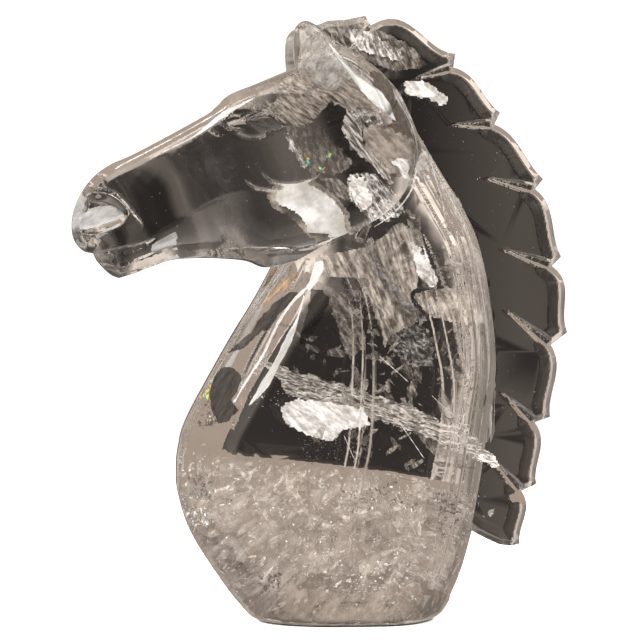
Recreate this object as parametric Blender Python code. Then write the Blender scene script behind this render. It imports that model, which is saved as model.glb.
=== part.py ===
"""A horse's head and neck carved from one block of rock crystal, with a saw-toothed mane, cut flat below.

Metres, +Z up. The face looks along -X, the origin is the middle of the flat underside, and the two sides
mirror each other about Y = 0. The form is one function of space that is negative inside the crystal: each
part of it is an outline in the side view with a half thickness across it, and the carving takes depth off
that thickness.
"""

import bpy
import numpy as np

# Driving dimensions
HEIGHT = 0.200  # from the underside to the tip of the forelock

# The free form keeps its proportions: every place and thickness below is in 200ths of the height
UNIT = HEIGHT / 200

MANE_THICKNESS = 0.0110
MANE_EDGE = 0.0052  # thickness left at the bevelled edge of the mane
MANE_BEVEL = 0.0024  # how far in from its edge the mane's bevel runs
GOUGE_WIDTH = 0.0052  # of the cut behind each tooth, at the notch
GOUGE_DEPTH = 0.0028
LOCK_GROOVE_WIDTH = 0.0030  # of the long grooves down the neck
LOCK_GROOVE_DEPTH = 0.0018
CHEST_LINE_WIDTH = 0.0052  # of the groove along the chest's bevel
CHEST_LINE_DEPTH = 0.0032
FLUTES = 3  # fine lines along the root of the mane
FLUTE_WIDTH = 0.0026
FLUTE_DEPTH = 0.0009
FLUTE_START = 0.0055  # from the nape's outline to the first of them
FLUTE_PITCH = 0.0039
CHEEK_RIM_WIDTH = 0.0022  # of the line inside the round edge of the cheek
CHEEK_RIM_DEPTH = 0.0012
EAR_THICKNESS = 0.0085  # at the tip
EAR_HOLLOW_WIDTH = 0.0052
EAR_HOLLOW_DEPTH = 0.0030
LINE_WIDTH = 0.0018  # of the lines drawn round the eye and across the cheek
LINE_DEPTH = 0.0009
NOSTRIL_DEPTH = 0.0024
MOUTH_WIDTH = 0.0020
MOUTH_DEPTH = 0.0014
BASE_ROUNDING = 0.0030  # of the edge round the underside

# Mesh of the carving
CELL = 0.00075  # size of the cells that each get one point of the surface
VIEW_CELL = 0.0004  # size of the cells that the side view is worked out in
ROOM = 0.0040  # kept free round the form where it is sampled
TILE = 16  # cells along each edge of the tiles that the side view is worked out by
SLAB = 8  # layers of points that are sampled at once
CURVE_STEPS = 8  # straight steps from each point of a curve to the next
HOLD = 0.08  # how strongly a point is held to the middle of its cell's crossings
CELL_MARGIN = 0.03  # share of a cell, at each side of it, that its point stays out of
HALVINGS = 7  # of a grid edge in the search for its crossing
SLOPE_STEP = 0.2  # share of a cell, to each side of a point, over which the form's slope there is measured
TRIANGLES = 9400

CRYSTAL = (0.86, 0.84, 0.81, 1.0)
CRYSTAL_ROUGHNESS = 0.02
CRYSTAL_IOR = 1.544

# Side outlines in units, as (x, z) points: each list is one smooth stretch, and stretches meet at corners
# The neck's outline runs on below the underside, so that its edges stay straight down to the cut
CHEST = [(3, -40), (-31, 0), (-40, 11), (-51, 28), (-55.4, 41), (-56.2, 49), (-55.5, 57), (-52.5, 67),
         (-40, 90), (-31.5, 104), (-26, 114), (-20, 126), (-12, 145), (-4, 165), (5, 178), (12, 180)]
NAPE = [(12, 180), (18.5, 175), (26, 161.5), (39.5, 138.5), (45.5, 125.5), (49.5, 106.5), (51.5, 84),
        (49, 64.5), (45, 39), (40, 19), (35.7, 8), (31.5, 0), (3, -40)]
NECK = [CHEST, NAPE]
HEAD = [
    [(-83.5, 121), (-87, 122), (-90, 126), (-90.5, 132), (-88.5, 139), (-84, 145.5), (-78, 150),
     (-69.3, 154), (-48, 165.6), (-43.5, 169), (-39, 173), (-30.5, 176.5), (-20, 181), (-11, 184.5),
     (-1.5, 186), (8, 182.5), (15.5, 176), (20.5, 167), (24, 157), (23.5, 148), (20.5, 139.5), (14, 132),
     (5, 126.5), (-6, 122), (-17, 118.5), (-26, 116.5), (-33, 118.7), (-45, 119.5), (-56.5, 119),
     (-63, 117), (-69.5, 114.5), (-75, 112.8)],
    [(-75, 112.8), (-78, 114.2), (-82, 118.2), (-83.5, 121)],
]
EAR = [
    [(-17.5, 178), (-18.6, 186), (-18.4, 193), (-16.8, 196), (-14, 196.9), (-11, 195.6)],
    [(-11, 195.6), (-4, 190), (4, 185), (12, 178.5), (15, 171), (13, 165)],
    [(13, 165), (3.5, 166), (-7, 170.5), (-14, 174), (-17.5, 178)],
]

# The mane from brow to shoulder: each tooth's tip, the swell of its edge, and the notch behind the tip,
# as its distance on along the crest and its depth
MANE_FRONT = [(-15, 180), (-13, 190), (-10.3, 196.4), (-6, 198.2), (0, 198.6)]
TEETH = [
    # tip x, tip z, swell, notch on, notch depth
    (6.5, 200.0, 0.0, 3.0, 2.2),
    (36.8, 187.6, 4.7, 2.0, 4.1),
    (51.8, 168.1, 1.7, 2.1, 3.8),
    (66.4, 146.0, 1.6, 2.0, 3.8),
    (72.5, 120.1, 2.0, 2.6, 3.6),
    (74.6, 94.8, 2.7, 4.6, 5.3),
    (68.7, 66.6, 2.1, 2.9, 4.7),
    (64.1, 44.1, 2.0, 3.4, 4.3),
    (58.5, 24.2, 1.8, 0.0, 0.0),
]
TOOTH_HOLLOW = 0.8  # share of a tooth's edge after which it swells no more, and dips in towards the tip
TOOTH_STEPS = 13
MANE_FOOT = [(55.7, 23.5), (51.6, 24.0), (47.4, 25.9), (43.8, 27.8)]
MANE_INSIDE = [(36, 34), (40, 62), (42, 84), (38, 112), (28, 138), (14, 160), (0, 174)]
GOUGE_ENDS = [(0, 187), (22, 179), (34.5, 164), (46, 146.5), (51.5, 123), (53, 103), (52, 75.5), (48, 54)]

# Half thickness in units: of the neck by height, and of the head by distance from the lips towards the poll
NECK_HALF = [(-6, 22), (30, 22), (60, 22), (90, 22), (110, 21.8), (130, 20.5), (150, 18.5), (170, 15.5),
             (185, 12)]
FLARE_EDGE = [(-56, 56.5), (-40, 55), (-7, 51.7), (40, 44.6), (52, 42)]
FLARE = 0.15  # slope of the neck's sides below that line, outwards to the base
HEAD_HALF = [(-4, 8.5), (3, 10.5), (12, 12), (24, 11.5), (38, 12.5), (50, 15.5), (62, 19), (76, 21.5),
             (92, 22.8), (106, 22), (120, 19)]
HEAD_AXIS = [(-90, 129), (4, 161)]

# How the surface turns over towards the outline: reach of the turn, share of the thickness left at the
# outline, then the same for the crisp bevel outside it
NECK_EDGE = (20, 0.10, 14, 0.24)
HEAD_EDGE = (14, 0.80, 4.0, 0.50)
NAPE_REACH = 15  # the neck turns over faster where it meets the mane
NAPE_SHARE = 0.2
CHEEK_STEP = 1.8  # how far the cheek stands over the neck beside it
CHEEK_BLEND = 22  # distance over which the neck comes down beside it
CHEEK_RIM_IN = 2.2  # how far inside the edge of the cheek its line runs
CHEEK_RIM_START = (-14, 0)  # where that line begins and has its full depth, along X
CHEST_FADE = 42  # height below which the chest's bevel moves out and fades into the round of the base

# Carved lines in units
CHEST_LINE = [(-14.6, 118), (-18.2, 109), (-22.4, 102), (-26.6, 94), (-32, 84), (-36, 74.5), (-38.6, 64)]
LOCKS = [
    [(2, 113), (4, 103), (5.2, 90), (5, 73.5), (4, 58), (2, 47), (-2, 21)],
    [(22.5, 128.5), (28, 113), (33, 93), (35.5, 78), (35, 64), (32, 49), (27.5, 32)],
]
CREST_LINE = [(-68, 125.5), (-59.5, 130), (-49, 136), (-40.5, 140), (-29.5, 142)]
CREST_FALL = 0.16  # slope of the cheek below that line, towards the jaw
CREST_REACH = 16
CREST_FADES = (0.25, 0.4)  # shares of the line's length over which the slope sets in and runs out
BROW = [(-44, 165), (-38, 169.5), (-31, 171.8), (-22, 172.3), (-12, 171.5), (0, 172), (12, 175)]
BROW_FALL = 0.42  # slope of the forehead above that line, in towards the poll
EYE = (-28, 163.2)
EYE_HALF_LENGTH = 6.4
EYE_HALF_HEIGHT = 2.7
EYE_SLOPE = -0.12
EYE_SWELL = 0.9
EYE_RISE = 0.625  # share of the way in over which the ball swells
EYE_LINES = [
    [(-37, 163.8), (-32.5, 166.6), (-28.5, 167.3), (-23, 165.5), (-19, 162.5)],
    [(-43.5, 165), (-41.5, 162.2), (-38, 160.8), (-34, 161.2)],
]
CHEEK_LINES = [
    [(-29.5, 147), (-25, 143.8), (-18, 143.4), (-10, 146)],
    [(-31, 120.8), (-24, 122.8), (-15.5, 121.5), (-8, 123.5)],
    [(26, 157), (29, 146), (30.5, 131.5)],
    [(-20, 178.5), (-13, 174), (-8.5, 171.5)],
]
NOSTRIL = [(-87.5, 141), (-80, 140.3), (-75.5, 138), (-72.2, 133.8), (-74.5, 129.5), (-83, 127),
           (-88.5, 128.5)]
NOSTRIL_SLOPE = 3.2  # width of the slope from its edge down to its floor
NOSTRIL_RIM = [(-86.5, 142.5), (-80.5, 142.2), (-75.5, 139.8), (-70.5, 134), (-67, 129.5)]
MOUTH = [(-85, 120), (-76, 122), (-69, 123.3), (-63, 126)]
EAR_HOLLOW = [(-9, 189.5), (-1, 181), (7, 172.5), (12.5, 164.5)]
EAR_TIP = 196
EAR_OUTSIDE = 18.2  # distance of an ear's outer side from the middle of the head, at its tip
EAR_SPREAD = 0.2  # outward for each unit down from the tip
EAR_THICKENING = 0.09  # of half the thickness, for each unit down
EAR_EDGE_REACH = 4.5

CUT_END = 0.02  # share of a cut's width that is left where it runs out
BELOW_GROUND = 0.1  # share of the base's rounding by which the form runs on below its underside


def smooth(points):
    """A curve through the points, as short straight steps."""
    points = np.array(points, float)
    if len(points) < 3:
        return points
    ends = np.vstack([2 * points[0] - points[1], points, 2 * points[-1] - points[-2]])
    t = np.linspace(0, 1, CURVE_STEPS, endpoint=False)[:, None]
    curve = []
    for a, b, c, d in zip(ends, ends[1:], ends[2:], ends[3:]):
        first, second, third = (c - a) / 2, a - 2.5 * b + 2 * c - d / 2, 1.5 * (b - c) + (d - a) / 2
        curve.append(b + t * first + t**2 * second + t**3 * third)
    return np.vstack(curve + [points[-1:]])


def line(points):
    """The same curve in metres."""
    return smooth(points) * UNIT


def outline(stretches):
    """A closed outline in metres from its smooth stretches."""
    return np.vstack([line(stretch)[:-1] for stretch in stretches])


def mane_outline():
    """The mane's toothed outline, and the notch behind each tooth."""
    along_edge = np.linspace(0, 1, TOOTH_STEPS)
    swelling = along_edge * (1 - along_edge) * (1 - along_edge / TOOTH_HOLLOW)
    swelling /= swelling.max()
    tips = np.array([tooth[:2] for tooth in TEETH])
    along = np.gradient(tips, axis=0)
    along /= np.linalg.norm(along, axis=1)[:, None]
    inward = np.column_stack([along[:, 1], -along[:, 0]])
    path = [*MANE_FRONT, tips[0]]
    notches = []
    for i, (_, _, _, on, depth) in enumerate(TEETH[:-1]):
        notch = tips[i] + on * along[i] + depth * inward[i]
        notches.append(notch)
        run = tips[i + 1] - notch
        swell = TEETH[i + 1][2] * np.array([-run[1], run[0]]) / np.linalg.norm(run)
        path.extend(notch + np.outer(along_edge, run) + np.outer(swelling, swell))
    path += MANE_FOOT + MANE_INSIDE
    return np.array(path, float) * UNIT, np.array(notches) * UNIT


def beside(starts, runs, x, z):
    """Each point's nearest place on each straight step, as a share of the step, and its distance there."""
    (ax, az), (dx, dz) = starts.T, runs.T
    share = np.clip(((x - ax) * dx + (z - az) * dz) / (dx**2 + dz**2), 0, 1)
    return share, np.hypot(x - ax - share * dx, z - az - share * dz)


class Grid:
    """The points of the side view, which are worked on in square tiles."""

    def __init__(self, low, high, cell):
        self.low, self.cell = np.array(low), cell
        self.tiles = np.ceil((high - self.low) / cell / TILE).astype(int)
        places = [start + cell * np.arange(n * TILE) for start, n in zip(self.low, self.tiles)]
        self.x, self.z = np.meshgrid(*places, indexing="ij")

    def reach_of(self, path, limit=np.inf):
        """Distance of each point from a path, and how far along the path its nearest place is, as a share.

        Tiles further than the limit are left at the limit. In the others, only the steps that can be nearest
        to one of the tile's points are looked at.
        """
        near, along = np.full(self.x.shape, limit), np.zeros(self.x.shape)
        starts, runs = path[:-1], np.diff(path, axis=0)
        lengths = np.linalg.norm(runs, axis=1)
        passed = np.concatenate([[0], np.cumsum(lengths)])
        middle = (TILE - 1) * self.cell / 2
        centres = [side[::TILE, ::TILE].reshape(-1, 1) + middle for side in (self.x, self.z)]
        _, gaps = beside(starts, runs, *centres)
        radius = middle * np.sqrt(2)
        for (i, j), gap in zip(np.ndindex(*self.tiles), gaps):
            if gap.min() - radius > limit:
                continue
            tile = np.s_[i * TILE:(i + 1) * TILE, j * TILE:(j + 1) * TILE]
            close = np.flatnonzero(gap <= gap.min() + 2 * radius)
            x, z = self.x[tile].reshape(-1, 1), self.z[tile].reshape(-1, 1)
            share, distance = beside(starts[close], runs[close], x, z)
            rows, best = np.arange(len(x)), distance.argmin(axis=1)
            reached = passed[close[best]] + share[rows, best] * lengths[close[best]]
            near[tile] = distance[rows, best].reshape(TILE, TILE)
            along[tile] = reached.reshape(TILE, TILE) / passed[-1]
        return near, along

    def inside_of(self, path):
        """Distance of each point inside a closed outline, negative outside it."""
        closed = np.vstack([path, path[:1]])
        within = np.zeros(self.x.shape, bool)
        rows = np.ceil((closed[:, 1] - self.low[1]) / self.cell).clip(0).astype(int)
        for (ax, az), (bx, bz), *ends in zip(closed, closed[1:], rows, rows[1:]):
            if ends[0] != ends[1]:
                between = np.s_[:, min(ends):max(ends)]
                crossing = ax + (self.z[between] - az) * (bx - ax) / (bz - az)
                within[between] ^= self.x[between] < crossing
        gap, _ = self.reach_of(closed)
        return np.where(within, gap, -gap)

    def cut(self, points, width, depth, shape):
        """Depth of a V-shaped cut along a curve."""
        gap, along = self.reach_of(line(points), width)
        share = np.maximum(shape(along), CUT_END)
        return depth * np.minimum(share, 1) * np.clip(1 - 2 * gap / (share * width), 0, 1)


def by_stations(stations, place):
    """A smooth run of values through (place, value) stations, in metres."""
    return np.interp(place, *line(stations).T)


def even(t):
    """Width along a cut that opens and closes at its two ends."""
    return np.sqrt(np.clip(np.sin(np.pi * t), 0, 1))


def opening(t):
    """Width along a gouge from its point to its mouth."""
    return t


def leaf(t):
    """Width along a leaf that is broadest past its middle."""
    return np.sin(np.pi * t**1.5)


def ease(t):
    t = np.clip(t, 0, 1)
    return t * t * (3 - 2 * t)


def neck_carving(grid):
    """Depth of the long grooves and the flutes down the side of the neck."""
    depth = grid.cut(CHEST_LINE, CHEST_LINE_WIDTH, CHEST_LINE_DEPTH, even)
    for points in LOCKS:
        depth = depth + grid.cut(points, LOCK_GROOVE_WIDTH, LOCK_GROOVE_DEPTH, even)
    gap, along = grid.reach_of(line(NAPE[:-2]))
    for n in range(FLUTES):
        flute = np.abs(gap - FLUTE_START - n * FLUTE_PITCH)
        depth = depth + FLUTE_DEPTH * even(along) * np.clip(1 - 2 * flute / FLUTE_WIDTH, 0, 1)
    return depth


def head_carving(grid, inside):
    """Depth of what is cut from the side of the head, where inside is the distance inside its outline."""
    x, z = grid.x, grid.z
    depth = 0
    for points in EYE_LINES + CHEEK_LINES + [NOSTRIL_RIM]:
        depth = depth + grid.cut(points, LINE_WIDTH, LINE_DEPTH, even)
    depth = depth + grid.cut(MOUTH, MOUTH_WIDTH, MOUTH_DEPTH, even)
    # Below the facial crest the cheek falls back towards the jaw, and above the brow towards the forehead
    crest, along = grid.reach_of(line(CREST_LINE))
    below = z < np.interp(x, *line(CREST_LINE).T)
    fade = ease(along / CREST_FADES[0]) * ease((1 - along) / CREST_FADES[1])
    depth = depth + CREST_FALL * fade * np.where(below, np.minimum(crest, CREST_REACH * UNIT), 0)
    depth = depth + BROW_FALL * np.maximum(z - np.interp(x, *line(BROW).T), 0)
    # A line runs round the edge of the cheek
    begin, full = CHEEK_RIM_START
    rim = np.abs(inside - CHEEK_RIM_IN * UNIT)
    fade = ease((x / UNIT - begin) / (full - begin))
    depth = depth + CHEEK_RIM_DEPTH * fade * np.clip(1 - 2 * rim / CHEEK_RIM_WIDTH, 0, 1)
    # The nostril is a scoop that is deepest below its upper rim
    scoop = grid.inside_of(line(NOSTRIL + NOSTRIL[:1])[:-1])
    depth = depth + NOSTRIL_DEPTH * ease(scoop / (NOSTRIL_SLOPE * UNIT))
    # The eye is an almond with a line round it and a ball that swells inside the line
    ex, ez = x / UNIT - EYE[0], z / UNIT - EYE[1]
    ez = ez - EYE_SLOPE * ex
    almond = 1 - (ex / EYE_HALF_LENGTH) ** 2 - np.abs(ez) / EYE_HALF_HEIGHT
    lid = np.abs(almond) * EYE_HALF_HEIGHT * UNIT
    depth = depth + LINE_DEPTH * np.clip(1 - 2 * lid / LINE_WIDTH, 0, 1)
    return depth - EYE_SWELL * UNIT * ease(almond / EYE_RISE)


def mane_carving(grid, notches):
    """Depth of the gouges that run in from the notches of the mane."""
    depth = 0
    for end, notch in zip(GOUGE_ENDS, notches):
        depth = depth + grid.cut([end, tuple(notch / UNIT)], GOUGE_WIDTH, GOUGE_DEPTH, opening)
    return depth


class SideView:
    """What the form needs at each point of the side view, worked out once."""

    def __init__(self, low, high, cell):
        grid = Grid(low, high, cell)
        self.low, self.cell = grid.low, cell
        mane, notches = mane_outline()
        flare = np.maximum(np.interp(grid.x, *line(FLARE_EDGE).T) - grid.z, 0)
        neck_half = by_stations(NECK_HALF, grid.z) + FLARE * flare
        start, end = np.array(HEAD_AXIS) * UNIT
        ahead = (end - start) / np.linalg.norm(end - start)
        head_half = by_stations(HEAD_HALF, (grid.x - start[0]) * ahead[0] + (grid.z - start[1]) * ahead[1])
        chest, _ = grid.reach_of(line(CHEST))
        low_down = np.maximum(CHEST_FADE * UNIT - grid.z, 0)
        chest = chest + low_down**2 / (low_down + CHEST_FADE * UNIT)
        nape, _ = grid.reach_of(line(NAPE))
        nape = np.clip(nape / (NAPE_REACH * UNIT), 0, 1)
        nape_share = NAPE_SHARE + (1 - NAPE_SHARE) * np.sqrt(1 - (1 - nape) ** 2)
        # Beside the cheek the neck is kept below it, so that the cheek's round edge stands over it
        head_inside = grid.inside_of(outline(HEAD))
        near_head = ease(1 + head_inside / (CHEEK_BLEND * UNIT))
        neck_half = neck_half + near_head * np.minimum(head_half - CHEEK_STEP * UNIT - neck_half, 0)
        neck_inside = grid.inside_of(outline(NECK))
        self.fields = np.stack([
            neck_inside,
            np.where(neck_inside > 0, chest, -chest),
            neck_half * nape_share - neck_carving(grid),
            head_inside,
            head_half - head_carving(grid, head_inside),
            grid.inside_of(mane),
            MANE_THICKNESS / 2 - mane_carving(grid, notches),
            grid.inside_of(outline(EAR)),
            grid.cut(EAR_HOLLOW, EAR_HOLLOW_WIDTH, EAR_HOLLOW_DEPTH, leaf),
        ])

    def at(self, x, z):
        """The fields at any points, blended between the four grid points round each."""
        across = (x - self.low[0]) / self.cell
        up = (z - self.low[1]) / self.cell
        i = np.clip(across.astype(int), 0, self.fields.shape[1] - 2)
        j = np.clip(up.astype(int), 0, self.fields.shape[2] - 2)
        s, t = across - i, up - j
        f = self.fields
        return (
            f[:, i, j] * (1 - s) * (1 - t) + f[:, i + 1, j] * s * (1 - t)
            + f[:, i, j + 1] * (1 - s) * t + f[:, i + 1, j + 1] * s * t
        )


def rounded(inside, from_bevel, half, y, edge):
    """Distance-like value of a slab that turns over towards its outline and has a bevel outside the turn."""
    reach, share, bevel_reach, bevel_share = edge
    half = np.maximum(half, UNIT)
    turn = half * (1 - share)
    a = np.maximum(1 - inside / (reach * UNIT), 0)
    b = np.maximum((y - half * share) / turn, 0)
    turned = (np.hypot(a, b) - 1) * np.minimum(turn, reach * UNIT)
    slope = half * (1 - bevel_share) / (bevel_reach * UNIT)
    bevel = (y - half * bevel_share - slope * from_bevel) / np.hypot(1, slope)
    return np.maximum(turned, bevel)


def crystal(fields, y, z):
    """Negative inside the crystal, positive outside it."""
    y = np.abs(y)
    neck_in, chest_in, neck_half, head_in, head_half, mane_in, mane_half, ear_in, hollow = fields
    neck = rounded(neck_in, chest_in, neck_half, y, NECK_EDGE)
    head = rounded(head_in, head_in, head_half, y, HEAD_EDGE)
    slope = (MANE_THICKNESS - MANE_EDGE) / 2 / MANE_BEVEL
    rim = (y - MANE_EDGE / 2 - slope * mane_in) / np.hypot(1, slope)
    mane = np.maximum(np.maximum(y - mane_half, rim), -mane_in)
    down = EAR_TIP * UNIT - z
    ear_half = EAR_THICKNESS / 2 + EAR_THICKENING * down
    middle = EAR_OUTSIDE * UNIT + EAR_SPREAD * down - ear_half
    ear_half = np.where(y > middle, ear_half - hollow, ear_half)
    turn = np.hypot(np.maximum(1 - ear_in / (EAR_EDGE_REACH * UNIT), 0), (y - middle) / ear_half)
    ear = (turn - 1) * EAR_THICKNESS / 2
    form = np.minimum(np.minimum(neck, head), np.minimum(mane, ear))
    # The edge round the underside is rounded, a little past where the underside is cut
    ground = -z - BELOW_GROUND * BASE_ROUNDING
    blend = np.maximum(BASE_ROUNDING - np.abs(form - ground), 0)
    return np.maximum(form, ground) + blend**2 / (4 * BASE_ROUNDING)


def filled_corners(inside):
    """Fills each grid square whose inside points meet only across its diagonal, where walls would touch."""
    while True:
        before = inside.sum()
        for u, v in ((0, 1), (1, 2), (0, 2)):
            beside, above = np.roll(inside, -1, u), np.roll(inside, -1, v)
            across = np.roll(beside, -1, v)
            touching = (inside & across & ~beside & ~above) | (beside & above & ~inside & ~across)
            for shifts in ((0, 0), (1, 0), (0, 1), (1, 1)):
                inside = inside | np.roll(touching, shifts, (u, v))
        if inside.sum() == before:
            return inside


def surface(value, low, high, cell):
    """Points and quads of the zero surface where Y is above 0, with a point in each cell that it crosses.

    The point is put where the planes of the crossings in its cell meet best, so that edges stay crisp. The
    first cells across lie half on each side of the middle plane, and their points are on it.
    """
    low = np.array([low[0], -cell / 2, low[2]])
    axes = [np.arange(a, b + cell, cell) for a, b in zip(low, high)]
    slabs = np.array_split(axes[0], np.ceil(len(axes[0]) / SLAB))
    inside = np.concatenate([value(*np.meshgrid(slab, *axes[1:], indexing="ij")) < 0 for slab in slabs])
    inside = filled_corners(inside)
    counts = np.array(inside.shape) - 1
    corner = np.zeros(counts, int)
    for shift in np.ndindex(2, 2, 2):
        corner += inside[tuple(slice(s, n + s) for s, n in zip(shift, counts))]
    active = (corner > 0) & (corner < 8)
    number = np.full(inside.shape, -1)
    number[:-1, :-1, :-1][active] = np.arange(active.sum())
    total = int(active.sum())
    sums = np.zeros((13, total))
    quads = []
    for axis in range(3):
        crossing = inside != np.roll(inside, -1, axis)
        for other in range(3):
            ends = [slice(None)] * 3
            ends[other] = -1 if other == axis else [0, -1]
            crossing[tuple(ends)] = False
        at = np.argwhere(crossing)
        leaving = inside[tuple(at.T)]
        point, normal = crossings(value, low + at * cell, leaving, axis, cell)
        u, v = (axis + 1) % 3, (axis + 2) % 3
        corners = []
        for du, dv in ((0, 0), (1, 0), (1, 1), (0, 1)):
            beside = at.copy()
            beside[:, u] -= du
            beside[:, v] -= dv
            corners.append(number[tuple(beside.T)])
        quad = np.column_stack(corners)
        quads.append(np.where(leaving[:, None], quad, quad[:, ::-1]))
        parts = [normal[:, i] * normal[:, j] for i, j in ((0, 0), (0, 1), (0, 2), (1, 1), (1, 2), (2, 2))]
        parts += [normal[:, i] * (normal * point).sum(1) for i in range(3)]
        parts += [point[:, i] for i in range(3)] + [np.ones(len(at))]
        for corner_cells in corners:
            for row, part in enumerate(parts):
                sums[row] += np.bincount(corner_cells, part, total)
    # In a cell on the middle plane the crossings of its two halves mirror each other, so these sums cancel
    cells = np.argwhere(active)
    sums[np.ix_([1, 4, 7, 10], cells[:, 1] == 0)] = 0
    mean = (sums[9:12] / sums[12]).T
    square = sums[[0, 1, 2, 1, 3, 4, 2, 4, 5]].T.reshape(-1, 3, 3)
    wanted = sums[6:9].T - np.einsum("nij,nj->ni", square, mean)
    points = mean + np.linalg.solve(square + HOLD * np.eye(3), wanted[:, :, None])[:, :, 0]
    corner_of = low + cells * cell
    margin = CELL_MARGIN * cell
    return np.clip(points, corner_of + margin, corner_of + cell - margin), np.vstack(quads)


def crossings(value, start, leaving, axis, cell):
    """Where the surface crosses each grid edge from its start, and which way it faces there."""
    step = np.zeros(3)
    step[axis] = cell
    near, far = np.zeros(len(start)), np.ones(len(start))
    for _ in range(HALVINGS):
        middle = (near + far) / 2
        same = (value(*(start + middle[:, None] * step).T) < 0) == leaving
        near, far = np.where(same, middle, near), np.where(same, far, middle)
    point = start + ((near + far) / 2)[:, None] * step
    return point, slope_of(value, point, SLOPE_STEP * cell)


def slope_of(value, point, step):
    """The unit direction in which the function grows fastest, which is straight out of the crystal."""
    slope = np.empty(point.shape)
    for i in range(3):
        shift = np.zeros(3)
        shift[i] = step
        slope[:, i] = value(*(point + shift).T) - value(*(point - shift).T)
    return slope / np.maximum(np.linalg.norm(slope, axis=1), 1e-12)[:, None]


def crystal_material():
    material = bpy.data.materials.new("rock_crystal")
    material.use_nodes = True
    shader = material.node_tree.nodes["Principled BSDF"]
    shader.inputs["Base Color"].default_value = CRYSTAL
    shader.inputs["Roughness"].default_value = CRYSTAL_ROUGHNESS
    shader.inputs["Metallic"].default_value = 0.0
    shader.inputs["IOR"].default_value = CRYSTAL_IOR
    shader.inputs["Transmission Weight"].default_value = 1.0
    return material


def form_box():
    """Lowest and highest corner of a box that holds the half of the form with Y above 0."""
    sides = np.vstack([outline(NECK), outline(HEAD), outline(EAR), mane_outline()[0]])
    ears = EAR_OUTSIDE + EAR_SPREAD * max(EAR_TIP - z for stretch in EAR for _, z in stretch)
    base = FLARE * max(z for _, z in FLARE_EDGE) + max(half for _, half in NECK_HALF)
    widest = max(ears, base, *(half for _, half in HEAD_HALF)) * UNIT
    low = np.array([sides[:, 0].min(), 0, 0]) - ROOM
    high = np.array([sides[:, 0].max(), widest, sides[:, 1].max()]) + ROOM
    return low, high


def horse_head():
    low, high = form_box()
    view = SideView(low[[0, 2]] - ROOM, high[[0, 2]] + ROOM, VIEW_CELL)

    def value(x, y, z):
        return crystal(view.at(x, z), y, z)

    points, quads = surface(value, low, high, CELL)
    mesh = bpy.data.meshes.new("horse_head")
    mesh.from_pydata(points.tolist(), [], quads.tolist())
    mesh.shade_smooth()
    mesh.materials.append(crystal_material())
    head = bpy.data.objects.new("horse_head", mesh)
    bpy.context.scene.collection.objects.link(head)
    mirror = head.modifiers.new("other_side", "MIRROR")
    mirror.use_axis = (False, True, False)
    mirror.merge_threshold = 0.00001
    decimate = head.modifiers.new("fewer_triangles", "DECIMATE")
    decimate.ratio = TRIANGLES / (4 * len(quads))
    decimate.use_symmetry = True
    decimate.symmetry_axis = "Y"
    return head


def cut_flat(head):
    """The underside, cut level through the origin."""
    bpy.ops.mesh.primitive_cube_add(size=HEIGHT, location=(0, 0, -HEIGHT / 2))
    cutter = bpy.context.object
    cutter.name = "ground_cutter"
    cutter.hide_render = True
    cutter.display_type = "WIRE"
    flat = head.modifiers.new("flat_underside", "BOOLEAN")
    flat.operation = "DIFFERENCE"
    flat.object = cutter


for thing in list(bpy.data.objects):
    bpy.data.objects.remove(thing)
cut_flat(horse_head())
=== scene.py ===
"""The looks of a horse's head carved from clear rock crystal, with the veils, fractures and haze in the stone.

Metres, +Z up, as the frame. The carving's surface is made again at a finer grain than the frame's solid, from the
same outlines, thicknesses and cuts. Inside it lie the flaws of the stone: crumpled sheets, skins that follow the
surface, fields of flakes, threads and small films. Some of the sheets and skins are painted light instead: painted
highlights, the painted image of a softbox, and painted shade. The photographed side is the one with Y below 0.
"""

import bmesh
import bpy
import numpy as np
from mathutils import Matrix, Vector, noise


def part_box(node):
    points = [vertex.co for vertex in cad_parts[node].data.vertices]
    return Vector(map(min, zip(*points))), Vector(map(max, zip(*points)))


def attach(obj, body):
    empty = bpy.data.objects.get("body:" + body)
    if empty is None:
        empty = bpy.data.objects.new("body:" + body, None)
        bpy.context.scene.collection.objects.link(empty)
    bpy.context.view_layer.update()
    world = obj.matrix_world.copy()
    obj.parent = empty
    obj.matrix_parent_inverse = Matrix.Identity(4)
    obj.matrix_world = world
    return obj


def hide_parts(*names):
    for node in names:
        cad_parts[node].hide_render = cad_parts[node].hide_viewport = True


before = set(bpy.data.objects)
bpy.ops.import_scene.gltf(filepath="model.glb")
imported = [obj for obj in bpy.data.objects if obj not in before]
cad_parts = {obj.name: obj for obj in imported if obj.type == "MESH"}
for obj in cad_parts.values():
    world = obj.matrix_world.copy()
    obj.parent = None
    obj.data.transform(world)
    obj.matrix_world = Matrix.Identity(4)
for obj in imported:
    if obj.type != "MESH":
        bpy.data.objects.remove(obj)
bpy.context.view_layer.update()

# The free form keeps its proportions: its places and thicknesses are in 200ths of the height
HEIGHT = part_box("horse_head")[1].z
UNIT = HEIGHT / 200

MANE_THICKNESS = 0.0110
MANE_EDGE = 0.0052  # thickness left at the bevelled edge of the mane
MANE_BEVEL = 0.0024  # how far in from its edge the mane's bevel runs
MANE_SOFTENING = 0.0008  # how much the face of the mane falls away inside its bevel
MANE_SOFT_REACH = 0.0050  # how far in from its edge that ends
MANE_BLUNTING = 0.0003  # how much the edge between the mane's bevel and its face is rounded
GOUGE_WIDTH = 0.0052  # of the cut behind each tooth, at the notch
GOUGE_DEPTH = 0.0028
GOUGE_RIDGE_WIDTH = 0.0026  # of the ridge that is left along the middle of each gouge
GOUGE_RIDGE = 0.0012
LOCK_GROOVE_WIDTH = 0.0048  # of the long grooves down the neck
LOCK_GROOVE_DEPTH = 0.0006
LOCK_FLANK = 0.36  # share of the half width that each flank takes, beside the flat bottom
CHEST_LINE_WIDTH = 0.0052  # of the groove along the chest's bevel
CHEST_LINE_DEPTH = 0.0032
FLUTES = 3  # fine lines along the root of the mane
FLUTE_WIDTH = 0.0026
FLUTE_DEPTH = 0.0009
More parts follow.
